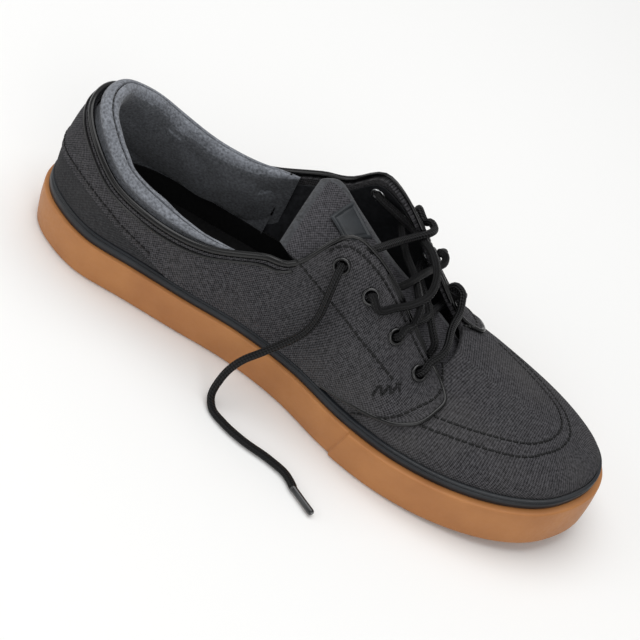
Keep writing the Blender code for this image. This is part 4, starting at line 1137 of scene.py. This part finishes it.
def collar_section(angle, side):
    share = float(share_of(angle))
    rise = float(smooth(COLLAR[side], 1, share)) * COLLAR_RISE + PIPING_DIAMETER
    thick = float(smooth(COLLAR[side], 2, share)) * COLLAR_THICKNESS
    up, inward = collar_shape.T
    high = up * np.where(up > 0, rise, COLLAR_DEPTH) - collar_crease * 0.9 * min(1.0, thick / 0.006)
    inside = inward * thick + collar_crease * 0.2
    edge_height = float(last_point(angle, side, edge(share, side))[2])
    level = level_at(angle, side, "height", edge_height + high)
    points = on_last(np.full_like(level, angle), side, level, -(UPPER_WALL + COLLAR_SEAT) - inside)
    wave = wrinkles(points, (1.7, 0.0, 2.2), (3.1, 0.02, 1.1))
    soft = (np.clip(inward * 1.3, 0, 1) * np.where(up < 0.3, 2.2, 1.0))[:, None]
    heart = points.mean(0)
    ways = points - heart
    ways = ways / np.maximum(np.linalg.norm(ways, axis=1, keepdims=True), 1e-9)
    return points + ways * wave[:, None] * soft


def collar_half(side, parts):
    end = float(angle_of(COLLAR[side][-1][0]))
    return [(end * part, side) for part in parts]


collar_stations = collar_half(MEDIAL, np.linspace(1, 0, 90))
collar_stations += collar_half(LATERAL, np.linspace(0, 1, 100)[1:])
collar = ring_piece("felt_collar", [collar_section(angle, side) for angle, side in collar_stations])
dress(collar, grey_felt, "grey_felt", "collar_pad")
# Faces turned inwards and down get the darker felt, which is painted shade.
collar.data.materials.append(shaded_felt)
for face in collar.data.polygons:
    x, y, _ = face.center
    inward = face.normal.y * y < -0.004 or (x < -0.12 and face.normal.x > 0.3)
    face.material_index = 1 if inward and face.normal.z < 0.15 else 0


# %% The lining
LINING_SPLIT, LINING_END, LINING_DROP = 0.337, 0.66, 0.004
PATCH_FRONT = -0.025


def lining_table(places, out, wave):
    """Points of a lining at (share, side) places, from the insole to just under the edge."""
    columns = []
    for share, side in places:
        level_top = below_edge(share, side, LINING_DROP)
        levels = np.concatenate([np.linspace(-0.93, 0, 10), np.linspace(0, level_top, 26)[1:]])
        point, normal, _ = last_frame(np.full_like(levels, float(angle_of(share))), side, levels)
        soft = np.clip((levels + 0.6) * 2, 0, 1)
        bulge = (wrinkles(point, (1.4, 0.0, 3.0), (2.9, 0.01, 1.6)) - 0.0004) * wave * soft
        columns.append(point + normal * (-UPPER_WALL - out + np.minimum(bulge, 0))[:, None])
    return np.stack(columns, 1)


heel_shares = share_of(np.linspace(0, float(angle_of(LINING_SPLIT)), 70))
lining = sheet_piece("heel_lining", lining_table(round_heel(heel_shares), 0.0009, 1.0), 0.0005)
# The heel lining gets the darker felt: painted shade inside the shoe.
dress(lining, shaded_felt, "grey_felt")
front_share = share_of(np.linspace(float(angle_of(LINING_SPLIT)), float(angle_of(LINING_END)), 50))
for side, word in SIDES:
    table = lining_table([(s, side) for s in front_share], 0.0005, 0.25)
    front = sheet_piece(f"front_lining_{word}", table, 0.0004)
    dress(bored(front, cutter), dark_lining, "charcoal_canvas")
    front.data.materials.append(patch_cloth)
    for face in front.data.polygons:
        face.material_index = 1 if face.center.x < PATCH_FRONT else 0
bpy.data.objects.remove(cutter, do_unlink=True)

# %% [markdown]
# The tongue is padded canvas with a grey tape bound over its top and side, and a bordered patch sewn on it. It
# follows the same ribs as its solid: a middle line over the instep, a width, an arch and a tilt.

# %% The tongue
TONGUE_THICKNESS, TONGUE_WIDTH, LABEL_THICKNESS, TONGUE_STEP = 0.0034, 0.062, 0.0008, 0.004
TAPE_WIDTH = 0.0048
TONGUE = [
    # share, half width, height, arch, tilt
    (0.385, 0.350, 0.722, 0.16, 0.32), (0.400, 0.395, 0.735, 0.18, 0.32), (0.430, 0.440, 0.742, 0.24, 0.28),
    (0.460, 0.460, 0.722, 0.28, 0.20), (0.500, 0.460, 0.684, 0.30, 0.12), (0.540, 0.450, 0.636, 0.30, 0.06),
    (0.580, 0.440, 0.588, 0.27, 0.00), (0.620, 0.430, 0.538, 0.24, 0.00), (0.660, 0.400, 0.492, 0.22, 0.00),
    (0.700, 0.370, 0.440, 0.20, 0.00), (0.735, 0.340, 0.420, 0.20, 0.00),
]
TONGUE_TOP, TONGUE_FRONT = TONGUE[0][0], TONGUE[-1][0]
TONGUE_SIDE = [
    # share, how far its lateral side reaches before it curls under; in part fitted and rounded
    (0.385, 0.80), (0.41, 0.83), (0.44, 0.66), (0.47, 0.54), (0.50, 0.46), (0.55, 0.50), (0.62, 0.70),
    (0.735, 0.90),
]


def tongue_face(share, across):
    """A point on the tongue's face: across runs from -1 at its medial side to 1 at its lateral side."""
    half, height, arch, tilt = (smooth(TONGUE, column, share) for column in (1, 2, 3, 4))
    middle = last_point(angle_of(share), LATERAL, 1.0)
    half = half * TONGUE_WIDTH
    z = height * INSTEP_HEIGHT + half * (tilt * across - arch * across**2)
    return np.stack(np.broadcast_arrays(middle[..., 0], middle[..., 1] + across * half, z), -1)


def tongue_point(share, across, out):
    """A point at a distance out from the tongue's face."""
    share, across = np.broadcast_arrays(np.asarray(share, float), np.asarray(across, float))
    low, high = np.maximum(share - TONGUE_STEP, TONGUE_TOP), np.minimum(share + TONGUE_STEP, TONGUE_FRONT)
    along = tongue_face(high, across) - tongue_face(low, across)
    side = tongue_face(share, across + TONGUE_STEP) - tongue_face(share, across - TONGUE_STEP)
    normal = np.cross(along, side)
    normal = normal / np.linalg.norm(normal, axis=-1, keepdims=True)
    return tongue_face(share, across) + normal * np.asarray(out)[..., None]


def make_tongue():
    shares = np.linspace(TONGUE_TOP, TONGUE_FRONT, 80)
    spots = np.linspace(-1, 1, 60)
    share, spread_out = np.meshgrid(shares, spots, indexing="ij")
    across = -1 + (spread_out + 1) / 2 * (1 + smooth(TONGUE_SIDE, 1, share))
    flat = tongue_face(share, across)
    down = run_lengths(flat, 0)
    right = run_lengths(flat, 1)
    right = right[:, -1:] - right
    in_tape = np.minimum(down, right) < TAPE_WIDTH
    pillow = 0.0006 * np.sin(share * 55) * np.cos(across * 2.5)
    rounded = -0.0012 * np.exp(-np.minimum(down, right) / 0.0009)
    table = tongue_point(share, across, np.where(in_tape, 0.0003, 0.0) + pillow * (down > 0.004) + rounded - 0.0001)
    return sheet_piece("tongue_pad", table, TONGUE_THICKNESS, 0.0009, TONGUE_MIDDLE)


tongue = make_tongue()
dress(tongue, tongue_canvas, "charcoal_canvas", "tongue")
tongue.data.materials.append(tongue_tape)


rib_shares = np.linspace(TONGUE_TOP, TONGUE_FRONT, 60)
rib_places = last_point(angle_of(rib_shares), LATERAL, 1.0)[:, 0]


def taped(place):
    """Whether a place lies within the tape's width of the tongue's top or lateral edge."""
    share = np.interp(place[0], rib_places, rib_shares)
    side_edge = tongue_face(np.array(share), np.array(float(smooth(TONGUE_SIDE, 1, share))))
    return place[0] < rib_places[0] + TAPE_WIDTH or np.hypot(*(side_edge - place)[1:]) < TAPE_WIDTH


for face in tongue.data.polygons:
    face.material_index = int(taped(np.asarray(face.center)))
print("tape faces", sum(face.material_index for face in tongue.data.polygons))

# %% The patch on the tongue
LABEL_CORNERS = [
    # share, across at the patch's four corners: heel end, then toe end; fitted and rounded
    ((0.43, -0.10), (0.445, 0.48)),
    ((0.47, -0.28), (0.50, 0.22)),
]
label_base = CLEARANCE + LABEL_THICKNESS


def make_label():
    grid = np.meshgrid(np.linspace(0, 1, 50), np.linspace(0, 1, 60), indexing="ij")
    down, right = (part[..., None] for part in grid)
    corners = np.array(LABEL_CORNERS)
    spots = (1 - down) * ((1 - right) * corners[0, 0] + right * corners[0, 1])
    spots = spots + down * ((1 - right) * corners[1, 0] + right * corners[1, 1])
    share, across = spots[..., 0], spots[..., 1]
    flat = tongue_face(share, across)
    down, right = run_lengths(flat, 0), run_lengths(flat, 1)
    rim_gap = np.minimum(np.minimum(down, down[-1:] - down), np.minimum(right, right[:, -1:] - right))
    frame_line = np.exp(-((rim_gap - 0.0022) / 0.0004) ** 2)
    ridge = np.exp(-((rim_gap - 0.0010) / 0.0006) ** 2)
    fall = np.exp(-rim_gap / 0.0004)
    out = label_base + 0.00035 * ridge - 0.00035 * frame_line - 0.0004 * fall
    return sheet_piece("tongue_patch", tongue_point(share, across, out), LABEL_THICKNESS, 0.0, TONGUE_MIDDLE)


dress(make_label(), label_rubber, "black_foam", "tongue_label")

# %% [markdown]
# One lace goes through all eight eyelets. It starts as a bar across the two lowest, criss-crosses up in loose
# strands that lie on the tongue, comes out through the eyelets and goes back over the edge in slack loops. One
# end stops at the far top eyelet. The other comes out of the near top eyelet and falls down the side to the floor.

# %% [markdown]
# Where the strands run was read on the photograph, brought to this camera's frame of 640 by 640 pixels. A
# strand by the edge of the throat takes its distance from the camera from that edge, and one in the open takes it
# from the points before and after it. A lift then brings it nearer to the camera, so that strands cross clear.

# %% Places read on the picture
FRAME_PIXELS = 640
FOCAL_PIXELS = CAMERA_LENS / SENSOR_WIDTH * FRAME_PIXELS
OVER_EYELET, UNDER_WALL = 0.0050, -0.0041
ROUTE_STEP, LACE_SIDES = 0.0012, 16
camera_turn = np.array(Euler([math.radians(turn) for turn in CAMERA_TURN]).to_matrix())
camera_place = np.array(CAMERA_PLACE)


def seen_at(point):
    """Where a point shows in the camera's frame, in pixels, and its depth from the camera."""
    x, y, z = (np.asarray(point) - camera_place) @ camera_turn
    return np.array([x, -y]) / -z * FOCAL_PIXELS + FRAME_PIXELS / 2, -z


def out_to(x, y, depth):
    """The point that shows at a pixel of the camera's frame, at a depth."""
    right, down = (np.array([x, y]) - FRAME_PIXELS / 2) / FOCAL_PIXELS
    return camera_place + camera_turn @ np.array([right, -down, -1.0]) * depth


def lace_spot(index, side, toward_edge, out):
    """A point by an eyelet: a distance from its centre towards the edge, and a height off the last."""
    share = eyelet_share(index, side)
    level = below_edge(share, side, EYELETS[index][2] * FLANGE_RADIUS - toward_edge)
    return on_last(float(angle_of(share)), side, level, out)


def edge_spots(side):
    shares = np.linspace(0.46, 0.70, 100)
    return [seen_at(p) for p in on_last(angle_of(shares), side, edge(shares, side), 0.003)]


EDGE_SPOTS = {side: edge_spots(side) for side in (MEDIAL, LATERAL)}


def by_edge(side, x, y, lift):
    """A place on the picture, at the depth of the throat's edge beside it."""
    near = min(EDGE_SPOTS[side], key=lambda spot: np.hypot(*(spot[0] - (x, y))))
    return out_to(x, y, near[1] - lift)


def through(index, side, outwards):
    """A lace through an eyelet, outwards or inwards."""
    places = ((0.0022, UNDER_WALL), (0.0, -0.0012), (0.0, 0.0030), (0.0008, OVER_EYELET))
    points = [lace_spot(index, side, *place) for place in places]
    return points if outwards else points[::-1]


def settle(route):
    """Gives each (x, y, lift) of a route a depth between those of its neighbours."""
    seen = [np.array(stop[:2]) if isinstance(stop, tuple) else seen_at(stop)[0] for stop in route]
    run = run_lengths(np.array(seen), 0)
    known = [k for k, stop in enumerate(route) if not isinstance(stop, tuple)]
    depths = np.interp(run, run[known], [seen_at(route[k])[1] for k in known])
    return [out_to(*stop[:2], depths[k] - stop[2]) if isinstance(stop, tuple) else stop
            for k, stop in enumerate(route)]


# %% The laced part
to_far_second = [
    by_edge(MEDIAL, 370.5, 251, -0.007), (390, 244.25, 0.0), by_edge(LATERAL, 420, 236, 0.005),
    by_edge(LATERAL, 429, 233.75, 0.004), by_edge(LATERAL, 434.5, 228, -0.002),
    by_edge(LATERAL, 430.5, 222.25, -0.0045), by_edge(LATERAL, 426.5, 222.5, -0.0065),
    lace_spot(1, LATERAL, 0.0030, OVER_EYELET),
]
to_near_third = [
    (405.5, 250, -0.002), (415, 277.5, -0.002), (419, 295, 0.0), by_edge(MEDIAL, 420.5, 310, 0.0),
    by_edge(MEDIAL, 412.5, 326.25, 0.002), lace_spot(2, MEDIAL, 0.0040, OVER_EYELET),
]
to_far_fourth = [by_edge(MEDIAL, 420, 321.5, -0.007), (433.75, 310.5, 0.002)]
bar = [
    lace_spot(3, LATERAL, 0.0056, OVER_EYELET), by_edge(LATERAL, 450, 288.5, -0.005),
    by_edge(LATERAL, 456, 286, -0.003), by_edge(LATERAL, 462, 292, -0.001), by_edge(LATERAL, 461.5, 305, 0.002),
    (452, 328.75, 0.0), by_edge(MEDIAL, 441, 356.25, 0.001), lace_spot(3, MEDIAL, 0.0045, OVER_EYELET),
]
to_far_third = [by_edge(MEDIAL, 434.5, 345, -0.0045), (432.5, 330, 0.004), (429, 310, 0.003)]
to_near_second = [
    lace_spot(2, LATERAL, 0.0056, OVER_EYELET), by_edge(LATERAL, 440, 252.5, -0.0055),
    by_edge(LATERAL, 445.5, 256.25, -0.003), by_edge(LATERAL, 444.5, 263, -0.0005),
    by_edge(LATERAL, 437, 267, 0.003), (422.5, 274.5, 0.0045), by_edge(MEDIAL, 398, 287.5, -0.007),
]
slack_to_far_first = [
    (378, 310.5, 0.001), by_edge(MEDIAL, 395, 308.25, 0.002), (412.5, 305, 0.002), (430, 295, 0.003),
    (437, 277.5, 0.003), (435, 259.5, 0.001), (426.25, 243.75, -0.006), (412.5, 228.75, -0.0075),
    (397.5, 214.5, -0.002),
]
lace_start = lace_spot(0, MEDIAL, 0.0, 0.0026)
lace_stops = [
    lace_start, *through(0, MEDIAL, False)[2:], *to_far_second,
    *through(1, LATERAL, False), *to_near_third, *through(2, MEDIAL, False),
    *to_far_fourth, *through(3, LATERAL, True), *bar, *through(3, MEDIAL, False),
    *to_far_third, *through(2, LATERAL, True), *to_near_second, *through(1, MEDIAL, True),
    *slack_to_far_first, *through(0, LATERAL, True)[:3],
]
lace_route = smooth_route(settle(lace_stops), ROUTE_STEP)
laced = tube("laced_part", lace_route, LACE_RADIUS, LACE_SIDES)
dress(laced, lace_finish, "black_cord", "lace_bar", "lace_crossing_low", "lace_crossing_middle",
      "lace_crossing_top")
print("laced part", round(len(lace_route) * ROUTE_STEP * 1000), "mm")

# %% The free end
LACE_END_ROUTE = [
    (-0.0025, -0.0385, 0.0800), (-0.0018, -0.0385, 0.0715), (-0.0014, -0.0392, 0.0625), (-0.0028, -0.0400, 0.0530),
    (-0.0065, -0.0415, 0.0450), (-0.0110, -0.0435, 0.0385), (-0.0165, -0.0465, 0.0315), (-0.0222, -0.0505, 0.0250),
    (-0.0265, -0.0548, 0.0125), (-0.0262, -0.0597, 0.0040), (-0.0230, -0.0640, 0.0022), (-0.0150, -0.0685, 0.0022),
    (-0.0030, -0.0718, 0.0022), (0.0130, -0.0736, 0.0022), (0.0225, -0.0762, 0.0022), (0.0284, -0.0808, 0.0022),
]
AGLET = [(0.0286, -0.0812, 0.0022), (0.0420, -0.0890, 0.0022)]
AGLET_SHAPE = [
    # part of the way along, radius
    (-0.03, 0.0017), (0.0, 0.00185), (0.06, 0.00175), (0.10, 0.00165), (0.5, 0.0016), (0.9, 0.00165),
    (0.97, 0.0015), (1.0, 0.0011),
]
free_start = lace_spot(0, MEDIAL, 0.0, OVER_EYELET - 2 * CLEARANCE)
free_route = smooth_route([lace_start, free_start, *LACE_END_ROUTE], ROUTE_STEP)
free_end = tube("lace_free_end", free_route, LACE_RADIUS, LACE_SIDES)
dress(free_end, lace_finish, "black_cord", "lace_end")
aglet_way = np.array(AGLET[1]) - AGLET[0]
aglet_route = [np.array(AGLET[0]) + aglet_way * part for part, _ in AGLET_SHAPE]
aglet = tube("lace_aglet_film", aglet_route, [radius for _, radius in AGLET_SHAPE], LACE_SIDES)
dress(aglet, aglet_finish, "black_piping", "lace_aglet")

# %% [markdown]
# Seams are sewn with waxed black thread, about eight stitches to the inch. Each stitch is a short rounded bar
# pressed into the cloth. One is modelled from a cylinder, and copies of it are set along each seam and joined.

# %% Stitches
STITCH_PITCH, STITCH_LENGTH, STITCH_RADIUS = 0.0033, 0.0025, 0.00058
OUT_QUARTER = CLEARANCE + QUARTER_STEP


def stitch_model():
    bpy.ops.object.select_all(action="DESELECT")
    bpy.ops.mesh.primitive_cylinder_add(vertices=8, radius=STITCH_RADIUS, depth=STITCH_LENGTH,
                                        rotation=(0, math.pi / 2, 0))
    piece = bpy.context.object
    bpy.ops.object.transform_apply(location=False, rotation=True, scale=False)
    modify(piece, "BEVEL", width=STITCH_RADIUS * 0.6, segments=2, limit_method="ANGLE")
    return piece


def seam(name, points, normals, pitch=STITCH_PITCH):
    """A row of stitches along points, each lying flat on the cloth with its normal."""
    points, normals = np.asarray(points, float), np.asarray(normals, float)
    run = run_lengths(points, 0)
    at = np.arange(pitch / 2, run[-1], pitch)

    def along(rows, where):
        return np.stack([np.interp(where, run, rows[:, k]) for k in range(3)], -1)
    ways = along(points, at + pitch * 0.1) - along(points, at - pitch * 0.1)
    model = stitch_model()
    copies = []
    for place, way, out in zip(along(points, at), ways, along(normals, at)):
        x = Vector(way).normalized()
        y = Vector(out).normalized().cross(x).normalized()
        matrix = Matrix((x, y, x.cross(y))).transposed().to_4x4()
        matrix.translation = Vector(place)
        copy = model.copy()
        bpy.context.collection.objects.link(copy)
        copy.matrix_world = matrix
        copies.append(copy)
    bpy.data.objects.remove(model, do_unlink=True)
    copies[0].data = copies[0].data.copy()
    piece = join(copies)
    bpy.ops.object.transform_apply(location=True, rotation=True, scale=True)
    piece.name = name
    bpy.ops.object.shade_smooth_by_angle(angle=SMOOTH_ANGLE)
    return dress(piece, thread_finish, "charcoal_canvas")


def seam_on_last(name, rows, side, out, pitch=STITCH_PITCH):
    """A seam through a table of (share, level), laid on the last at a height."""
    rows = np.asarray(rows, float)
    run = run_lengths(rows, 0)
    fine = np.linspace(0, run[-1], 200)
    table = [(r, *row) for r, row in zip(run, rows)]
    angles = angle_of(smooth(table, 1, fine))
    levels = smooth(table, 2, fine)
    _, normal, _ = last_frame(angles, side, levels)
    return seam(name, cloth(angles, side, levels, out), normal, pitch)


# %% [markdown]
# Each seam is a short table of where it runs, as share of the length and level: the eyestay's line, the quarter's
# rounded front, and the two rows round the toe. The places were traced on the photograph, turned into shares and
# levels by a solver outside this script, and rounded. They weren't chosen by hand.

# %% The seams
EYESTAY = [(0.42, 0.34), (0.50, 0.34), (0.56, 0.37), (0.60, 0.40), (0.64, 0.42)]
QUARTER_EDGE = [(0.61, 0.03), (0.65, 0.16), (0.69, 0.41), (0.71, 0.66), (0.69, 0.80)]
TOE_SEAMS = {
    "inner_near": (MEDIAL, [(0.70, 0.44), (0.79, 0.56), (0.87, 0.71), (0.90, 0.86), (0.91, 1.00)]),
    "inner_far": (LATERAL, [(0.91, 1.00), (0.905, 0.82), (0.88, 0.68), (0.82, 0.58), (0.76, 0.52)]),
    "outer_near": (MEDIAL, [(0.68, 0.31), (0.78, 0.43), (0.86, 0.54), (0.91, 0.75), (0.93, 1.00)]),
    "outer_far": (LATERAL, [(0.93, 1.00), (0.925, 0.83), (0.89, 0.62), (0.84, 0.51), (0.78, 0.43)]),
}
ZIGZAG = [(0.625 + 0.005 * step, 0.235 + 0.03 * step + 0.05 * (step % 2)) for step in range(7)]
ZIGZAG_PITCH, LINING_PITCH, COLLAR_PITCH = 0.0026, 0.0030, 0.0036
COUNTER_SEAM_LIFT, THROAT_SEAM_DROP, LINING_SEAM_SEAT = 0.022, 0.0030, 0.0023


def near_edge(side, low, high, distance):
    """A line at a distance below the throat's edge."""
    return [(s, below_edge(s, side, distance)) for s in np.linspace(low, high, 16)]


counter_line = [(s, level + COUNTER_SEAM_LIFT) for s, level in SEAM[:-1]]
for side, word in SIDES:
    seam_on_last(f"seam_eyestay_{word}", EYESTAY, side, OUT_QUARTER)
    seam_on_last(f"seam_quarter_{word}", QUARTER_EDGE, side, OUT_QUARTER)
    seam_on_last(f"seam_throat_{word}", near_edge(side, 0.46, 0.68, THROAT_SEAM_DROP), side, OUT_QUARTER)
    seam_on_last(f"seam_counter_{word}", counter_line, side, OUT_QUARTER)
for word, (side, rows) in TOE_SEAMS.items():
    seam_on_last(f"seam_toe_{word}", rows, side, 0.0)
seam_on_last("seam_zigzag", ZIGZAG, MEDIAL, OUT_QUARTER, ZIGZAG_PITCH)
inside_levels = np.linspace(0.07, 0.26, 30)
inside_angles = np.full(len(inside_levels), float(angle_of(LINING_SPLIT)))
inside_seam, inside_normal, _ = last_frame(inside_angles, LATERAL, inside_levels)
inside_seam = inside_seam - inside_normal * (UPPER_WALL + LINING_SEAM_SEAT)
seam("seam_lining", inside_seam, -inside_normal, LINING_PITCH)
crease = int(np.argmax(collar_crease))
crease_points = np.array([collar_section(angle, side)[crease] for angle, side in collar_stations[12:-12]])
straight_up = np.tile([0.0, 0.0, 1.0], (len(crease_points), 1))
seam("seam_collar", crease_points + [0, 0, 0.0003], straight_up, COLLAR_PITCH)
